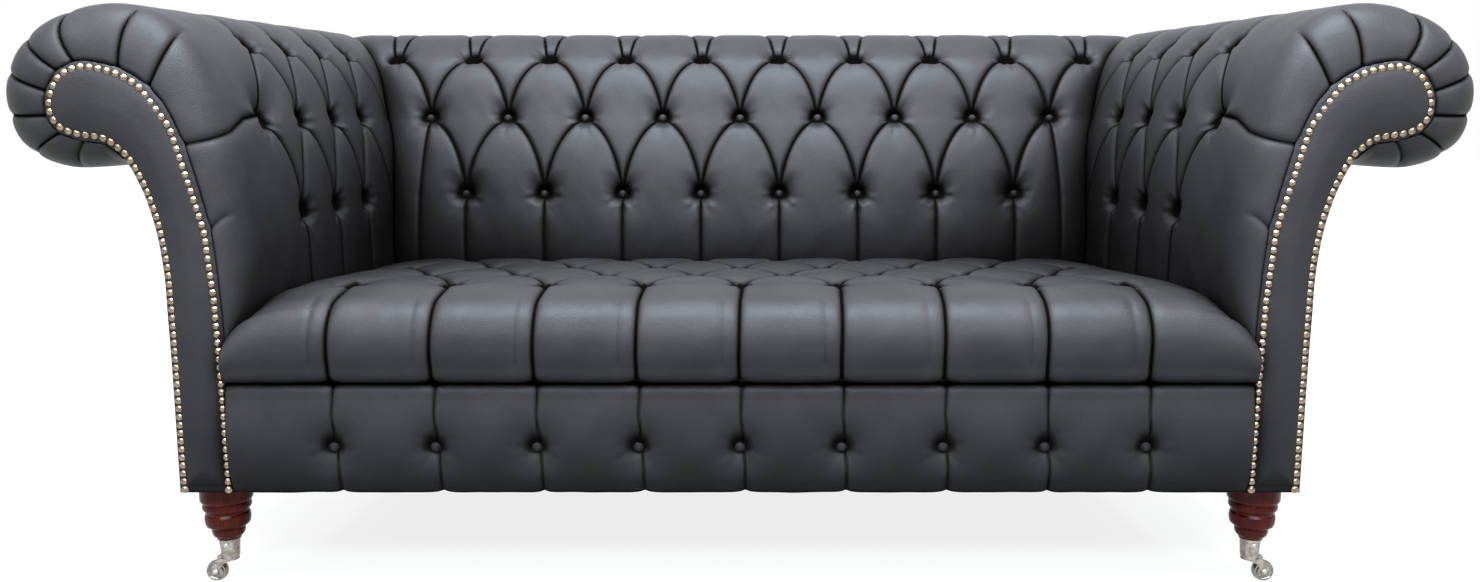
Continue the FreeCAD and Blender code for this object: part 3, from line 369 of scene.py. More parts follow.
def leather(name="Black hide", folds=True, grain_scale=420.0):
    """Dark aniline leather with a fine grain and cloudy dye."""
    material, shader = new_material(name)
    if shader is None:
        return material
    colours = bpy.context.scene.sofa_colours
    tree = Tree(material)
    place = tree.add("ShaderNodeTexCoord").outputs["Object"]
    cloud = tree.add("ShaderNodeTexNoise", Scale=9.0, Detail=4.0, Roughness=0.6)
    tree.link(place, cloud.inputs["Vector"])
    grain = tree.add("ShaderNodeTexVoronoi", feature="DISTANCE_TO_EDGE", Scale=grain_scale)
    tree.link(place, grain.inputs["Vector"])
    fine = tree.add("ShaderNodeTexNoise", Scale=900.0, Detail=2.0)
    tree.link(place, fine.inputs["Vector"])
    wrinkle = tree.add("ShaderNodeTexNoise", Scale=42.0, Detail=6.0, Roughness=0.55, Distortion=0.6)
    tree.link(place, wrinkle.inputs["Vector"])
    hide = tuple(colours.hide)
    lighter = tuple(c * 1.35 for c in hide)
    colour = tree.mix(tree.range(cloud.outputs["Fac"], 0.3, 0.7, 0.0, 1.0), hide, lighter)
    # painted shade: an occlusion node darkens the colour towards the shade colour and dulls the gloss where
    # the leather lies in hollows and tight corners
    occlusion = tree.add("ShaderNodeAmbientOcclusion")
    occlusion.samples = 4
    occlusion.inputs["Distance"].default_value = 0.45
    unoccluded_share = tree.range(occlusion.outputs["AO"], 0.46, 0.95, 0.03, 1.0)
    colour = tree.mix(unoccluded_share, tuple(colours.hide_painted_shade), colour)
    # painted shade: the fold mask darkens the colour further along the crease lines and in the button pits
    if folds:
        fold = tree.add("ShaderNodeAttribute", attribute_name="fold").outputs["Fac"]
        colour = tree.mix(tree.range(fold, 0.30, 0.78, 0.0, 1.0), colour, tuple(colours.hide_painted_shade))
    tree.link(colour, shader.inputs["Base Color"])
    rough = tree.add("ShaderNodeMath", operation="ADD")
    tree.link(tree.range(cloud.outputs["Fac"], 0.3, 0.7, 0.36, 0.46), rough.inputs[0])
    tree.link(tree.range(wrinkle.outputs["Fac"], 0.3, 0.7, 0.0, 0.07), rough.inputs[1])
    tree.link(rough.outputs[0], shader.inputs["Roughness"])
    bumps = tree.add("ShaderNodeBump", Strength=0.22, Distance=0.0005)
    tree.link(tree.range(grain.outputs["Distance"], 0.0, 0.35, 0.0, 1.0), bumps.inputs["Height"])
    soft = tree.add("ShaderNodeBump", Strength=0.35, Distance=0.0016)
    tree.link(wrinkle.outputs["Fac"], soft.inputs["Height"])
    tree.link(bumps.outputs["Normal"], soft.inputs["Normal"])
    pores = tree.add("ShaderNodeBump", Strength=0.10, Distance=0.0002)
    tree.link(fine.outputs["Fac"], pores.inputs["Height"])
    tree.link(soft.outputs["Normal"], pores.inputs["Normal"])
    tree.link(pores.outputs["Normal"], shader.inputs["Normal"])
    # painted shade on the gloss: it is scaled down in hollows found by the occlusion node and, when folds is
    # set, fades out along the crease and pit mask
    gloss = tree.add("ShaderNodeMath", operation="MULTIPLY")
    tree.link(unoccluded_share, gloss.inputs[0])
    gloss.inputs[1].default_value = 0.125
    if folds:
        tree.link(tree.range(fold, 0.25, 0.75, 0.125, 0.0), gloss.inputs[1])
    tree.link(gloss.outputs[0], shader.inputs["Specular IOR Level"])
    shader.inputs["Specular Tint"].default_value = (0.82, 0.92, 1.0, 1.0)
    return material


def metal(name, colour, roughness, tarnish, scale=160.0, spread=0.12):
    """Metal with worn and tarnished patches."""
    material, shader = new_material(name)
    if shader is None:
        return material
    tree = Tree(material)
    place = tree.add("ShaderNodeTexCoord").outputs["Object"]
    patch = tree.add("ShaderNodeTexNoise", Scale=scale, Detail=5.0, Roughness=0.65)
    tree.link(place, patch.inputs["Vector"])
    dark = tuple(c * tarnish for c in colour)
    tree.link(tree.mix(tree.range(patch.outputs["Fac"], 0.42, 0.68, 0.0, 1.0), tuple(colour), dark),
              shader.inputs["Base Color"])
    tree.link(tree.range(patch.outputs["Fac"], 0.3, 0.7, roughness, roughness + spread),
              shader.inputs["Roughness"])
    bump = tree.add("ShaderNodeBump", Strength=0.15, Distance=0.0002)
    tree.link(patch.outputs["Fac"], bump.inputs["Height"])
    tree.link(bump.outputs["Normal"], shader.inputs["Normal"])
    shader.inputs["Metallic"].default_value = 1.0
    return material


def wood(name, dark, light, rough_low, rough_high, coat, scale, stretch):
    """Wood with long grain, streaks and pores."""
    material, shader = new_material(name)
    if shader is None:
        return material
    tree = Tree(material)
    place = tree.add("ShaderNodeTexCoord").outputs["Object"]
    mapping = tree.add("ShaderNodeMapping")
    mapping.inputs["Scale"].default_value = stretch
    tree.link(place, mapping.inputs["Vector"])
    streak = tree.add("ShaderNodeTexNoise", Scale=scale, Detail=7.0, Roughness=0.62, Distortion=0.8)
    tree.link(mapping.outputs["Vector"], streak.inputs["Vector"])
    pores = tree.add("ShaderNodeTexNoise", Scale=scale * 9, Detail=3.0)
    tree.link(mapping.outputs["Vector"], pores.inputs["Vector"])
    tree.link(tree.ramp(streak.outputs["Fac"], [(0.32, dark), (0.66, light)]), shader.inputs["Base Color"])
    tree.link(tree.range(streak.outputs["Fac"], 0.3, 0.7, rough_low, rough_high), shader.inputs["Roughness"])
    bump = tree.add("ShaderNodeBump", Strength=0.12, Distance=0.0003)
    tree.link(pores.outputs["Fac"], bump.inputs["Height"])
    tree.link(bump.outputs["Normal"], shader.inputs["Normal"])
    shader.inputs["Specular IOR Level"].default_value = 0.06
    shader.inputs["Coat Weight"].default_value = coat
    shader.inputs["Coat Roughness"].default_value = 0.18
    return material


def cloth(name, colour, scale, weave):
    """Coarse woven cloth."""
    material, shader = new_material(name)
    if shader is None:
        return material
    tree = Tree(material)
    place = tree.add("ShaderNodeTexCoord").outputs["Object"]
    across = tree.add("ShaderNodeTexWave", bands_direction="X", Scale=scale, Distortion=1.2)
    along = tree.add("ShaderNodeTexWave", bands_direction="Y", Scale=scale, Distortion=1.2)
    upright = tree.add("ShaderNodeTexWave", bands_direction="Z", Scale=scale, Distortion=1.2)
    for node in (across, along, upright):
        tree.link(place, node.inputs["Vector"])
    woven = tree.mix(0.5, across.outputs["Color"], along.outputs["Color"], "MULTIPLY")
    woven = tree.mix(0.3, woven, upright.outputs["Color"], "MULTIPLY")
    dark = tuple(c * 0.45 for c in colour)
    tree.link(tree.mix(woven, dark, tuple(colour)), shader.inputs["Base Color"])
    bump = tree.add("ShaderNodeBump", Strength=weave, Distance=0.0008)
    tree.link(woven, bump.inputs["Height"])
    tree.link(bump.outputs["Normal"], shader.inputs["Normal"])
    tree.link(tree.range(woven, 0.0, 1.0, 0.95, 0.8), shader.inputs["Roughness"])
    return material


# Pieces

def symmetric(count, pitch):
    """Places at an even pitch about the middle."""
    return [(i - (count - 1) / 2) * pitch for i in range(count)]


def corner_draw(section):
    """How the corner fold draws both pads in, as (across, behind, up) at each level."""
    arm = np.stack([section.arm_crown - section.arm_former, section.crown_z - section.former_z], 1)
    back = np.stack([section.back_crown - section.back_former, section.crown_z - section.former_z], 1)
    arm /= np.linalg.norm(arm, axis=1)[:, None]
    back /= np.linalg.norm(back, axis=1)[:, None]
    depth = 15.0 * np.clip((section.crown_z - section.former_z + 20) / 20, 0, 1)
    return np.stack([-arm[:, 0] * depth, -back[:, 0] * depth, -(arm[:, 1] + back[:, 1]) * depth / 2], 1)


def rows_to(points, goal, count):
    """Adds rows that lead the leather's last row on to another."""
    extra = [points[-1] * (1 - t) + goal * t for t in np.linspace(0, 1, count + 1)[1:]]
    return np.concatenate([points, np.stack(extra)], 0)


def longer(fold, count):
    """The fold mask of painted shade, with the last row repeated for the rows added below it."""
    return np.concatenate([fold, np.repeat(fold[-1:], count, 0)], 0)


def make_back():
    """Inside back and its roll."""
    sizes = bpy.context.scene.sofa_sizes
    step = sizes.mesh_step
    section = Section(step)
    corner = ARM_INNER + section.arm_crown - SPLAY * section.back_crown
    share = np.linspace(-1, 1, int(2 * 700 / step))
    u = corner[:, None] * share[None, :]
    v = np.repeat(section.back_s[:, None], len(share), 1)
    tuft = Tufting(u, v)
    deep = sizes.back_tuft

    def s(level):
        return section.s_at(level, section.back_s)
    top_x = symmetric(BACK_COLUMNS, BACK_PITCH)
    middle_x = symmetric(BACK_COLUMNS - 1, BACK_PITCH)
    low_x = symmetric(BACK_COLUMNS - 2, BACK_PITCH)
    half = BACK_PITCH / 2
    shallow = deep * 0.36
    for x in middle_x:
        for way in (-1, 1):
            tuft.arched((x, s(MIDDLE)), (x + way * half, s(TOP)), deep * 0.9, shallow, deep * 0.7, 24)
    for x in low_x:
        for way in (-1, 1):
            tuft.arched((x, s(LOW)), (x + way * half, s(MIDDLE)), deep * 0.9, shallow, deep * 0.7, 24)
        tuft.crease([(x, s(LOW)), (x, s(LOW) - 40), (x, s(1)), (x, s(0))], [deep * 0.75, 9, 7, 6], 16)
    for way in (-1, 1):
        end = way * (half * (BACK_COLUMNS - 2))
        tuft.arched((end + way * 10, s(LOW)), (end, s(MIDDLE)), 7, 7, deep * 0.7, 18, 0.2)
        tuft.crease([(end + way * 10, s(LOW)), (end + way * 12, s(0))], [7, 6], 14)
    for x in top_x:
        for way in (-1, 1):
            places = [(x + way * 4, s(TOP)), (x + way * 15, s(ROLL)), (x + way * 25, s(6)),
                      (x + way * 31, s(8)), (x + way * 33, s(LAST))]
            tuft.crease(places, [deep * 0.7, 5.5, 4, 4, 3], 9, 0.6, 3.2)
    for level, places in ((TOP, top_x), (MIDDLE, middle_x), (LOW, low_x)):
        for x in places:
            tuft.button((x, s(level)), deep)
    depth = tuft.settled(deep)
    away = corner[:, None] - np.abs(u)
    depth *= 1 - np.exp(-away / 14)
    thick = np.stack([section.back_crown - section.back_former, section.crown_z - section.former_z], 1)
    way = thick / np.linalg.norm(thick, axis=1)[:, None]
    points = np.stack([u, FRONT_Y + section.back_crown[:, None] - way[:, :1] * depth,
                       section.crown_z[:, None] - way[:, 1:] * depth], 2)
    pull = np.exp(-away / 15)[:, :, None] * corner_draw(section)[:, None, :]
    pull[:, :, 0] *= np.sign(u)
    points += pull
    roots = points[-1].copy()
    roots[:, 1], roots[:, 2] = FRONT_Y + section.back_former[-1], section.former_z[-1]
    points = rows_to(points, roots, TUCK_ROWS)
    pad_piece("inside_back", points, longer(tuft.line, TUCK_ROWS), False, "back_pad")


def arm_nose(count=20, depth=57.0, start=3.0):
    """Turn angles of the rounded front end, and how far behind the facing each lies."""
    angles = np.linspace(0, math.pi / 2, count)
    return angles, start + depth * (1 - np.cos(angles))


def make_arm(name, side):
    """Inside arm, its roll and the rounded front end round the facing."""
    sizes = bpy.context.scene.sofa_sizes
    step = sizes.mesh_step
    section = Section(step)
    angles, nose_d = arm_nose()
    nose_end = nose_d[-1]
    behind = section.back_crown
    count = int(700 / step)
    share = np.linspace(0, 1, count)[1:]
    straight = nose_end + (behind[:, None] - nose_end) * share[None, :]
    rows = len(behind)
    d = np.concatenate([np.repeat(nose_d[None, :], rows, 0), straight], 1)
    turn = np.concatenate([angles, np.full(count - 1, math.pi / 2)])
    nose_u = np.linspace(-15, nose_end, len(angles))
    u = np.concatenate([np.repeat(nose_u[None, :], rows, 0), straight], 1)
    v = np.repeat(section.arm_s[:, None], u.shape[1], 1)
    tuft = Tufting(u, v)
    deep = sizes.arm_tuft
    low_deep = deep * 0.74

    def s(level):
        return section.s_at(level, section.arm_s)
    middle_d = [ARM_FIRST + i * ARM_PITCH for i in range(ARM_COLUMNS)]
    top_d = [p + ARM_PITCH / 2 for p in middle_d]
    low_d = top_d[:-1]
    half = ARM_PITCH / 2
    shallow = deep * 0.33
    for i, p in enumerate(middle_d):
        for way in (-1, 1):
            if i + (way - 1) // 2 >= 0:
                tuft.arched((p, s(MIDDLE)), (p + way * half, s(TOP)),
                            deep * 0.9, shallow, deep * 0.7, 18, 0.6)
    last = middle_d[-1] + ARM_PITCH
    tuft.arched((last, s(MIDDLE)), (top_d[-1], s(TOP)), deep * 0.6, shallow, deep * 0.7, 18, 0.6)
    for p in low_d:
        for way in (-1, 1):
            tuft.arched((p, s(LOW)), (p + way * half, s(MIDDLE)),
                        low_deep * 0.9, shallow, deep * 0.7, 18, 0.6)
        tuft.crease([(p, s(LOW)), (p, s(LOW) - 30), (p, s(0))], [low_deep * 0.7, 7, 5], 13)
    tuft.arched((middle_d[-1] + half, s(LOW)), (middle_d[-1], s(MIDDLE)), 7, 8, deep * 0.7, 16, 0.4)
    tuft.crease([(middle_d[-1] + half, s(LOW)), (middle_d[-1] + half, s(0))], [7, 5], 12)
    # the long crease from the first button forward to the facing
    tuft.crease([(ARM_FIRST, s(MIDDLE) + 6), (ARM_FIRST - 22, s(3.1)), (100, s(3.06)), (55, s(2.93)),
                 (15, s(2.84)), (-15, s(2.78))], [deep * 0.8, 8, 5.5, 5, 5, 4.5], 8, 0.6, 3.2)
    tuft.crease([(34, s(2.14)), (12, s(2.12)), (-15, s(2.02))], [0, 3.2, 4], 7, 0.6, 3.2)
    for p in top_d:
        tuft.crease([(p, s(TOP)), (p - 2, s(ROLL)), (p - 3, s(6)), (p - 3, s(LAST))],
                    [deep * 0.8, 7, 5, 3.5], 10, 0.5, 3.4)
    # short pleats round the scroll: level at the facing and at the end, where it ends and its depth
    for at_facing, at_end, end_d, drawn in ((3.9, 4.2, 67.2, 4.5), (5.5, 5.2, 52.8, 4.2), (8.6, 7.4, 88, 5),
                                            (10.0, 9.6, 48, 4), (11.4, 11.2, 40, 4), (13.0, 12.8, 52.8, 4.5),
                                            (14.7, 14.6, 40, 4), (16.3, 16.2, 40, 3.5)):
        places = [(-15, s(at_facing)), (15, s(at_facing + (at_end - at_facing) * 0.25)),
                  (45, s(at_facing + (at_end - at_facing) * 0.65)), (end_d, s(at_end))]
        tuft.crease(places, [drawn * 1.5, drawn * 1.5, drawn, 0], 8, 0.6, 2.8)
    for level, places, drawn in ((TOP, top_d, deep), (MIDDLE, middle_d, deep), (LOW, low_d, low_deep)):
        for p in places:
            high = 38.0 if level == MIDDLE and p == ARM_FIRST else 18.0
            tuft.button((p, s(level)), drawn, high, 10.0, 6.0)
    depth = tuft.settled(deep)
    away = behind[:, None] - d
    depth *= 1 - np.exp(-np.maximum(away, 0) / 14)
    thick = np.stack([section.arm_crown - section.arm_former, section.crown_z - section.former_z], 1)
    height = np.linalg.norm(thick, axis=1)
    way = thick / height[:, None]
    up = np.sin(turn)[None, :]
    raised = height[:, None] * up - depth * up
    a = section.arm_former[:, None] + way[:, :1] * raised
    z = section.former_z[:, None] + way[:, 1:] * raised
    y = FRONT_Y + d + depth * np.cos(turn)[None, :]
    points = np.stack([ARM_INNER + a - SPLAY * d, y, z], 2)
    points += np.exp(-np.maximum(away, 0) / 15)[:, :, None] * corner_draw(section)[:, None, :]
    # the underside of the roll carries on to the outside panel
    meeting = points[-1].copy()
    meeting[:, 0] = ARM_INNER + 117.5 - SPLAY * d[-1]
    meeting[:, 2] = 625 - 9 * up[0]
    points = rows_to(points, meeting, MEETING_ROWS)
    roots = points[-1].copy()
    roots[:, 0] = ARM_INNER + section.arm_former[-1] - SPLAY * d[-1]
    roots[:, 2] = section.former_z[-1]
    points = rows_to(points, roots, TUCK_ROWS)
    points[:, :, 0] *= side
    fold = longer(tuft.line, MEETING_ROWS + TUCK_ROWS)
    pad_piece("arm_pad_" + name + "_hide", points, fold, side > 0, "arm_pad_" + name)


def profile_sheet(profile, step):
    """A (behind, up) profile sampled closely, with the distance along it and its outward normals."""
    profile = np.array(profile, dtype=float)
    knots = chords(profile)
    places = np.linspace(0, knots[-1], int(knots[-1] / step))
    curve = smooth_through(knots, profile, places)
    along = np.gradient(curve, axis=0)
    along /= np.linalg.norm(along, axis=1)[:, None]
    normals = np.stack([-along[:, 1], along[:, 0]], 1)
    return curve, places, normals


def make_seat():
    """Bench seat from its bottom edge over the nose to the back."""
    sizes = bpy.context.scene.sofa_sizes
    step = sizes.mesh_step
    rows = [(d, 443 - 8 * i) for i, d in enumerate(SEAT_ROWS)]
    profile = [(34, SEAT_FLOOR + 0.5), (6, SEAT_FLOOR + 0.5), (-9, 318.4), (-13.4, 323), (-18, 342),
               (-20.5, 364), (-17, 390), (-5, 412), (14, 428), (44, 438), (72, 443)]
    profile += rows + [(560, 415), (584, 404)]
    curve, places, normals = profile_sheet(profile, step)
    d = curve[:, 0]
    nose = np.clip((d - 3) / 57, 0, 1)
    arm_in = 25 * np.sqrt(np.clip(1 - (1 - nose) ** 2, 0, 1))
    half_width = ARM_INNER + 2.0 - arm_in - SPLAY * np.maximum(d, 0)
    share = np.linspace(-1, 1, int(1400 / step))
    u = half_width[:, None] * share[None, :]
    v = np.repeat(places[:, None], len(share), 1)
    tuft = Tufting(u, v)
    deep = sizes.seat_tuft
    top = places[np.argmax(curve[:, 1])]

    def s(behind):
        after = places > top - 120
        return float(np.interp(behind, d[after], places[after]))
    columns = symmetric(SEAT_COLUMNS, SEAT_PITCH)
    between = symmetric(SEAT_COLUMNS - 1, SEAT_PITCH)
    half = SEAT_PITCH / 2
    row_places = [columns, between, columns, between]
    for i in range(3):
        lower, upper = row_places[i], row_places[i + 1]
        for x in upper:
            for way in (-1, 1):
                if any(abs(x + way * half - other) < 1 for other in lower):
                    tuft.arched((x + way * half, s(SEAT_ROWS[i])), (x, s(SEAT_ROWS[i + 1])), deep * 0.9,
                                deep * 0.42, deep * 0.7, 20, 0.35)
    for x in columns:
        front = [(x, s(SEAT_ROWS[0])), (x + 3, s(70)), (x, s(20)), (x - 2, places[0] + 80), (x, places[0])]
        tuft.crease(front, [deep * 0.9, 11, 8, 7, 6], 13, 0.6, 3.0)
        tuft.crease([(x - 26, s(45)), (x - 25, s(15)), (x - 25, places[0] + 75), (x - 26, places[0] + 45)],
                    [0, 2.4, 2.4, 0], 6, 0.4, 3.0)
    for x in between:
        tuft.crease([(x, s(SEAT_ROWS[3])), (x, places[-1])], [deep, deep * 0.8], 16)
    for i in (0, 2):
        for way in (-1, 1):
            x = way * half * (SEAT_COLUMNS - 1)
            tuft.crease([(x, s(SEAT_ROWS[i])), (x + way * 90, s(SEAT_ROWS[i]) + 8)], [deep * 0.8, 4], 15)
    for i, d_row in enumerate(SEAT_ROWS):
        for x in row_places[i]:
            tuft.button((x, s(d_row)), deep, 11.0, 14.0, 14.0)
    depth = tuft.settled(deep)
    away = half_width[:, None] - np.abs(u)
    height = curve[:, 1]
    raised = np.clip((height - 325) / 95, 0, 1)[:, None]
    end_fall = (17 + 30 * np.exp(-np.maximum(d, 0) / 75))[:, None] * raised * np.exp(-away / 30)
    points = np.stack([u, FRONT_Y + d[:, None] - normals[:, :1] * (depth + 2 * np.exp(-away / 10)),
                       curve[:, 1:] - normals[:, 1:] * depth - end_fall], 2)
    pad_piece("seat_hide", points, tuft.line, False, "seat_cushion")


def make_border():
    """Padded border under the seat."""
    sizes = bpy.context.scene.sofa_sizes
    step = sizes.mesh_step
    profile = [(22, 157.6), (4, 157.8), (-5, 160.5), (-12, 175), (-18, 200), (-21, 228), (-20.6, 250),
               (-18, 274), (-13.8, 296), (-10.4, 310), (-6, 314.8), (1, 315.8), (8, 315.8), (20, 315.6)]
    curve, places, normals = profile_sheet(profile, step)
    half_width = ARM_INNER - 0.6
    share = np.linspace(-1, 1, int(1400 / step))
    u = np.repeat(half_width * share[None, :], len(places), 0)
    v = np.repeat(places[:, None], len(share), 1)
    tuft = Tufting(u, v)
    deep = sizes.border_tuft
    button_s = float(np.interp(226.0, curve[4:, 1], places[4:]))
    for x in symmetric(SEAT_COLUMNS, SEAT_PITCH):
        upper = [(x + 4, places[-1]), (x + 1, button_s + 50), (x + 5, button_s + 8)]
        lower = [(x + 5, button_s - 4), (x + 7, button_s - 25), (x + 8, places[0])]
        tuft.crease(upper, [5, 4.5, 5], 14, 0.6, 3.0)
        tuft.crease(lower, [5, 4.5, 4], 14, 0.6, 3.0)
        tuft.button((x, button_s), deep, 26.0, 20.0, 20.0)
    depth = tuft.settled(deep)
    away = half_width - np.abs(u)
    drop = depth + 3 * np.exp(-away / 12)
    points = np.stack([u, FRONT_Y + curve[:, :1] - normals[:, :1] * drop,
                       curve[:, 1:] - normals[:, 1:] * drop], 2)
    pad_piece("border_hide", points, tuft.line, False, "front_border")


def facing_outline(step):
    """Closed outline of a facing as (outward, up), foot first."""
    section = Section(step)
    inner = [(0.0, z) for z in np.arange(UNDERSIDE, 330, step)]
    head = list(zip(section.arm_former, section.former_z))
    tail = np.array([head[-1]] + OUTER_EDGE)
    knots = chords(tail)
    outer = smooth_through(knots, tail, np.linspace(0, knots[-1], int(knots[-1] / step)))[1:]
    foot = [(x, UNDERSIDE) for x in np.arange(outer[-1][0] - step, step / 2, -step)]
    return np.array(inner + head + [tuple(p) for p in outer] + foot)


def distance_to_outline(points, outline):
    """How far each point lies from a closed outline."""
    best = np.full(len(points), 1e9)
    for p, q in zip(outline, np.roll(outline, -1, 0)):
        way = q - p
        t = np.clip(((points - p) @ way) / max(way @ way, 1e-9), 0, 1)
        best = np.minimum(best, np.linalg.norm(points - p - t[:, None] * way, axis=1))
    return best


def inside_outline(points, outline):
    """Which of the points lie inside a closed outline."""
    inside = np.zeros(len(points), bool)
    x, y = points[:, 0], points[:, 1]
    for p, q in zip(outline, np.roll(outline, -1, 0)):
        crosses = (p[1] > y) != (q[1] > y)
        with np.errstate(divide="ignore", invalid="ignore"):
            at_x = (q[0] - p[0]) * (y - p[1]) / (q[1] - p[1]) + p[0]
        inside ^= crosses & (x < at_x)
    return inside


def make_facing(name, side):
    """Scroll facing: a soft crown inside the line of nails, with its edge turned back."""
    step = 4.0
    outline = facing_outline(step)
    a, z = np.meshgrid(np.arange(-2, 222, step), np.arange(UNDERSIDE, 756, step))
    grid = np.stack([a.ravel(), z.ravel()], 1)
    grid = grid[inside_outline(grid, outline)]
    grid = grid[distance_to_outline(grid, outline) > step * 0.6]
    verts = [Vector(p) for p in outline] + [Vector(p) for p in grid]
    edge = list(range(len(outline)))
    out = delaunay_2d_cdt(verts, [], [edge], 1, 1e-4)
    flat = np.array([tuple(p) for p in out[0]])
    away = distance_to_outline(flat, outline)
    # the rounded edge, a slight dip along the nails and the padded middle
    rounded = 5.0 * (1 - np.sqrt(np.clip(1 - (1 - np.clip(away / 5.0, 0, 1)) ** 2, 0, 1)))
    dip = 0.9 * np.exp(-((away - 9.0) / 3.5) ** 2)
    crown = 9.5 * (1 - np.exp(-np.maximum(away - 8, 0) / 20))
    y = FRONT_Y + rounded + dip - crown
    skirt_start = len(flat)
    points = [(side * (ARM_INNER + p[0]), yy, p[1]) for p, yy in zip(flat, y)]
    faces = [tuple(f) if side < 0 else tuple(reversed(f)) for f in out[2]]
    loop = [next(i for i, source in enumerate(out[3]) if k in source) for k in edge]
    points += [(side * (ARM_INNER + flat[i][0]), FRONT_Y + 14.0, flat[i][1]) for i in loop]
    count = len(loop)
    for k in range(count):
        n = (k + 1) % count
        face = (loop[k], loop[n], skirt_start + n, skirt_start + k)
        faces.append(face if side > 0 else tuple(reversed(face)))
    back = tuple(skirt_start + k for k in range(count))
    faces.append(back if side > 0 else tuple(reversed(back)))
    mesh = bpy.data.meshes.new("facing_" + name)
    mesh.from_pydata([(x / 1000, yy / 1000, zz / 1000) for x, yy, zz in points], [], faces)
    # an empty fold attribute: the facing gets no painted crease shade
    mesh.attributes.new("fold", "FLOAT", "POINT")
    mesh.materials.append(leather())
    mesh.shade_smooth()
    mesh.set_sharp_from_angle(angle=math.radians(60))
    obj = bpy.data.objects.new("facing_" + name, mesh)
    bpy.context.scene.collection.objects.link(obj)
    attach(obj, BODY)
    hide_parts("arm_facing_" + name)


def finish_node(node, material, angle=35.0):
    """Gives a piece of the frame its finish and smooths its round faces."""
    mesh = frame["nodes"][node].data
    mesh.materials.clear()
    mesh.materials.append(material)
    mesh.shade_smooth()
    mesh.set_sharp_from_angle(angle=math.radians(angle))


def named(*starts):
    """Pieces of the frame whose names begin with one of the words."""
    found = [n for n in frame["nodes"] if n.startswith(starts)]
    if not found:
        raise RuntimeError("no piece is named " + ", ".join(starts))
    return found


class SOFA_OT_inside_back(bpy.types.Operator):
    """Deep-buttoned inside back with its roll"""
    bl_idname = "sofa.inside_back"
    bl_label = "Inside back"

    def execute(self, context):
        make_back()
        return {"FINISHED"}


class SOFA_OT_arm_pads(bpy.types.Operator):
    """Deep-buttoned arms with their scrolls"""
    bl_idname = "sofa.arm_pads"
    bl_label = "Arm pads"

    def execute(self, context):
        for name, side in SIDES.items():
            make_arm(name, side)
        return {"FINISHED"}


class SOFA_OT_seat(bpy.types.Operator):
    """Buttoned bench seat with its pleated nose"""
    bl_idname = "sofa.seat"
    bl_label = "Seat"

    def execute(self, context):
        make_seat()
        return {"FINISHED"}


class SOFA_OT_border(bpy.types.Operator):
    """Padded border under the seat"""
    bl_idname = "sofa.border"
    bl_label = "Border"

    def execute(self, context):
        make_border()
        return {"FINISHED"}


class SOFA_OT_facings(bpy.types.Operator):
    """Scroll facings of the arms"""
    bl_idname = "sofa.facings"
    bl_label = "Facings"

    def execute(self, context):
        for name, side in SIDES.items():
            make_facing(name, side)
        return {"FINISHED"}


class SOFA_OT_trim(bpy.types.Operator):
    """Buttons, outside panels and nails"""
    bl_idname = "sofa.trim"
    bl_label = "Buttons, panels and nails"

    def execute(self, context):
        for node in named("back_buttons", "arm_buttons", "seat_buttons", "border_buttons"):
            finish_node(node, leather("Button hide", False, 500.0), 60.0)
        for node in named("outside_arm", "outside_back"):
            finish_node(node, leather("Panel hide", False), 30.0)
        brass = metal("Aged brass", context.scene.sofa_colours.nails, 0.26, 0.35, 420.0)
        for node in named("facing_nails"):
            finish_node(node, brass, 50.0)
        return {"FINISHED"}


class SOFA_OT_legs(bpy.types.Operator):
    """Turned legs, cups and castors"""
    bl_idname = "sofa.legs"
    bl_label = "Legs and castors"

    def execute(self, context):
        dark = tuple(context.scene.sofa_colours.legs)
        light = tuple(min(c * 2.6, 1) for c in dark)
        mahogany = wood("Polished mahogany", dark, light, 0.20, 0.32, 0.06, 26.0, (3.0, 3.0, 0.5))
        for node in named("leg_front", "leg_rear"):
            finish_node(node, mahogany, 32.0)
        nickel = metal("Nickel plate", (0.30, 0.27, 0.24), 0.16, 0.45)
        for node in named("castor_cups", "castor_horn"):
            finish_node(node, nickel, 35.0)
        worn = metal("Worn nickel", (0.27, 0.245, 0.22), 0.20, 0.42)
        for node in named("castor_wheel"):
            finish_node(node, worn, 35.0)
        steel = metal("Plain steel", (0.45, 0.44, 0.43), 0.28, 0.6)
        for node in named("castor_axle", "cup_screws", "leg_bolts"):
            finish_node(node, steel, 35.0)
        return {"FINISHED"}


class SOFA_OT_inner_frame(bpy.types.Operator):
    """Wooden frame, springs, webbing and the cloths under the seat"""
    bl_idname = "sofa.inner_frame"
    bl_label = "Inner frame"

    def execute(self, context):
        slots = {s["node"]: s["material_slot"] for s in frame["record"]["subparts"]}
        beech = wood("Sawn beech", (0.30, 0.19, 0.10), (0.50, 0.36, 0.21), 0.55, 0.75, 0.0, 9.0,
                     (1.0, 5.0, 5.0))
        wire = metal("Spring wire", (0.20, 0.20, 0.21), 0.35, 0.5)
        jute = cloth("Jute", (0.36, 0.27, 0.16), 260.0, 0.6)
        dust = cloth("Dust cloth", (0.016, 0.016, 0.017), 420.0, 0.3)
        finishes = {"frame_wood": beech, "spring_steel": wire, "jute": jute, "dust_cloth": dust}
        for node, slot in slots.items():
            if slot in finishes:
                finish_node(node, finishes[slot])
        return {"FINISHED"}


def area_lamp(name, place, aim, size, energy, colour):
    data = bpy.data.lights.new(name, "AREA")
    data.shape = "RECTANGLE"
    data.size, data.size_y = size
    data.energy = energy
    data.color = colour
    lamp = bpy.data.objects.new(name, data)
    lamp.location = place
    lamp.rotation_euler = (Vector(aim) - Vector(place)).to_track_quat("-Z", "Y").to_euler()
    bpy.context.scene.collection.objects.link(lamp)


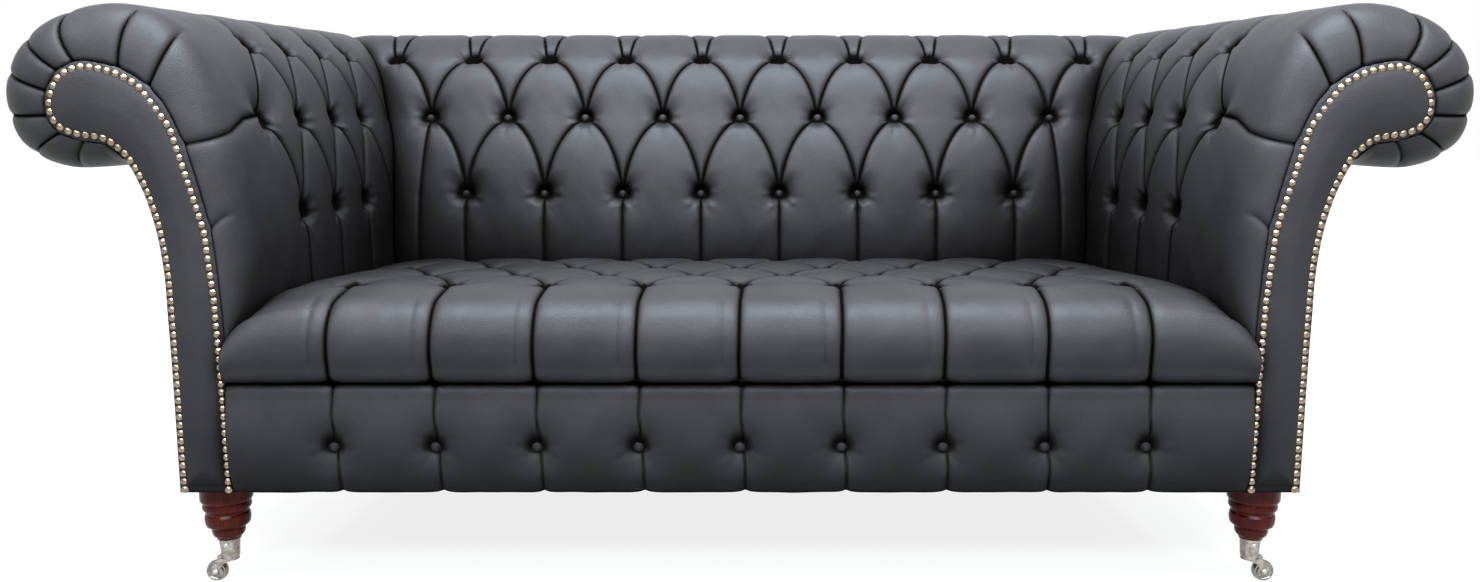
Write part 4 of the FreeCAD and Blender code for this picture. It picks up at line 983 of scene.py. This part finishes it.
class SOFA_OT_stage(bpy.types.Operator):
    """Pale floor, soft light and the camera"""
    bl_idname = "sofa.stage"
    bl_label = "Stage"

    def execute(self, context):
        scene = context.scene
        mesh = bpy.data.meshes.new("floor")
        mesh.from_pydata([(-12, -12, 0), (12, -12, 0), (12, 12, 0), (-12, 12, 0)], [], [(0, 1, 2, 3)])
        floor = bpy.data.objects.new("floor", mesh)
        scene.collection.objects.link(floor)
        material, shader = new_material("Pale floor")
        tree = Tree(material)
        place = tree.add("ShaderNodeTexCoord").outputs["Object"]
        cloud = tree.add("ShaderNodeTexNoise", Scale=1.5, Detail=3.0)
        tree.link(place, cloud.inputs["Vector"])
        pale = tuple(scene.sofa_colours.floor)
        duller = tuple(c * 0.98 for c in pale)
        tree.link(tree.mix(cloud.outputs["Fac"], pale, duller), shader.inputs["Base Color"])
        shader.inputs["Roughness"].default_value = 0.7
        out = tree.add("ShaderNodeVectorMath", operation="LENGTH")
        tree.link(place, out.inputs[0])
        glow = tree.add("ShaderNodeMath", operation="MULTIPLY")
        tree.link(tree.seen_directly(), glow.inputs[0])
        tree.link(tree.range(out.outputs["Value"], 1.1, 3.0, 0.82, 1.0), glow.inputs[1])
        shader.inputs["Emission Color"].default_value = (1, 1, 1, 1)
        tree.link(glow.outputs[0], shader.inputs["Emission Strength"])
        mesh.materials.append(material)
        world = bpy.data.worlds.new("Studio")
        world.use_nodes = True
        scene.world = world
        sky = Tree(world)
        background = sky.nodes["Background"]
        background.inputs["Color"].default_value = (1, 1, 1, 1)
        sky.link(sky.range(sky.seen_directly(), 0.0, 1.0, 0.07, 1.0), background.inputs["Strength"])
        cool = (0.90, 0.96, 1.0)
        area_lamp("Overhead", (0, -0.9, 2.9), (0, -0.1, 0.5), (3.2, 1.0), 400, cool)
        area_lamp("Front", (0, -3.9, 3.0), (0, 0, 0.45), (3.8, 0.7), 230, cool)
        area_lamp("Left front", (-2.6, -2.0, 2.8), (-0.3, 0, 0.5), (0.8, 0.8), 50, cool)
        area_lamp("Right front", (2.6, -2.0, 2.8), (0.3, 0, 0.5), (0.8, 0.8), 50, cool)
        camera = bpy.data.cameras.new("Camera")
        camera.sensor_width = 36.0
        camera.lens = 28.06
        camera.dof.use_dof = False
        eye = bpy.data.objects.new("Camera", camera)
        eye.location = (0, -1.987, 0.6957)
        eye.rotation_euler = (math.radians(80.8), 0, 0)
        scene.collection.objects.link(eye)
        scene.camera = eye
        scene.view_settings.view_transform = "Standard"
        return {"FINISHED"}


OPERATORS = (SOFA_OT_inside_back, SOFA_OT_arm_pads, SOFA_OT_seat, SOFA_OT_border, SOFA_OT_facings,
             SOFA_OT_trim, SOFA_OT_legs, SOFA_OT_inner_frame, SOFA_OT_stage)


class SOFA_PT_sidebar(bpy.types.Panel):
    """Sizes, colours and pieces of the sofa"""
    bl_idname = "SOFA_PT_sidebar"
    bl_label = "Sofa"
    bl_space_type = "VIEW_3D"
    bl_region_type = "UI"
    bl_category = "Sofa"

    def draw(self, context):
        for group in (context.scene.sofa_sizes, context.scene.sofa_colours):
            box = self.layout.box()
            for key in group.__annotations__:
                box.prop(group, key)
        for operator in OPERATORS:
            self.layout.operator(operator.bl_idname)


CLASSES = (SofaSizes, SofaColours) + OPERATORS + (SOFA_PT_sidebar,)


def register():
    for cls in CLASSES:
        bpy.utils.register_class(cls)
    bpy.types.Scene.sofa_sizes = bpy.props.PointerProperty(type=SofaSizes)
    bpy.types.Scene.sofa_colours = bpy.props.PointerProperty(type=SofaColours)


def unregister():
    del bpy.types.Scene.sofa_colours
    del bpy.types.Scene.sofa_sizes
    for cls in reversed(CLASSES):
        bpy.utils.unregister_class(cls)


def main():
    register()
    bpy.ops.sofa.inside_back()
    bpy.ops.sofa.arm_pads()
    bpy.ops.sofa.seat()
    bpy.ops.sofa.border()
    bpy.ops.sofa.facings()
    bpy.ops.sofa.trim()
    bpy.ops.sofa.legs()
    bpy.ops.sofa.inner_frame()
    bpy.ops.sofa.stage()


if __name__ == "__main__":
    main()
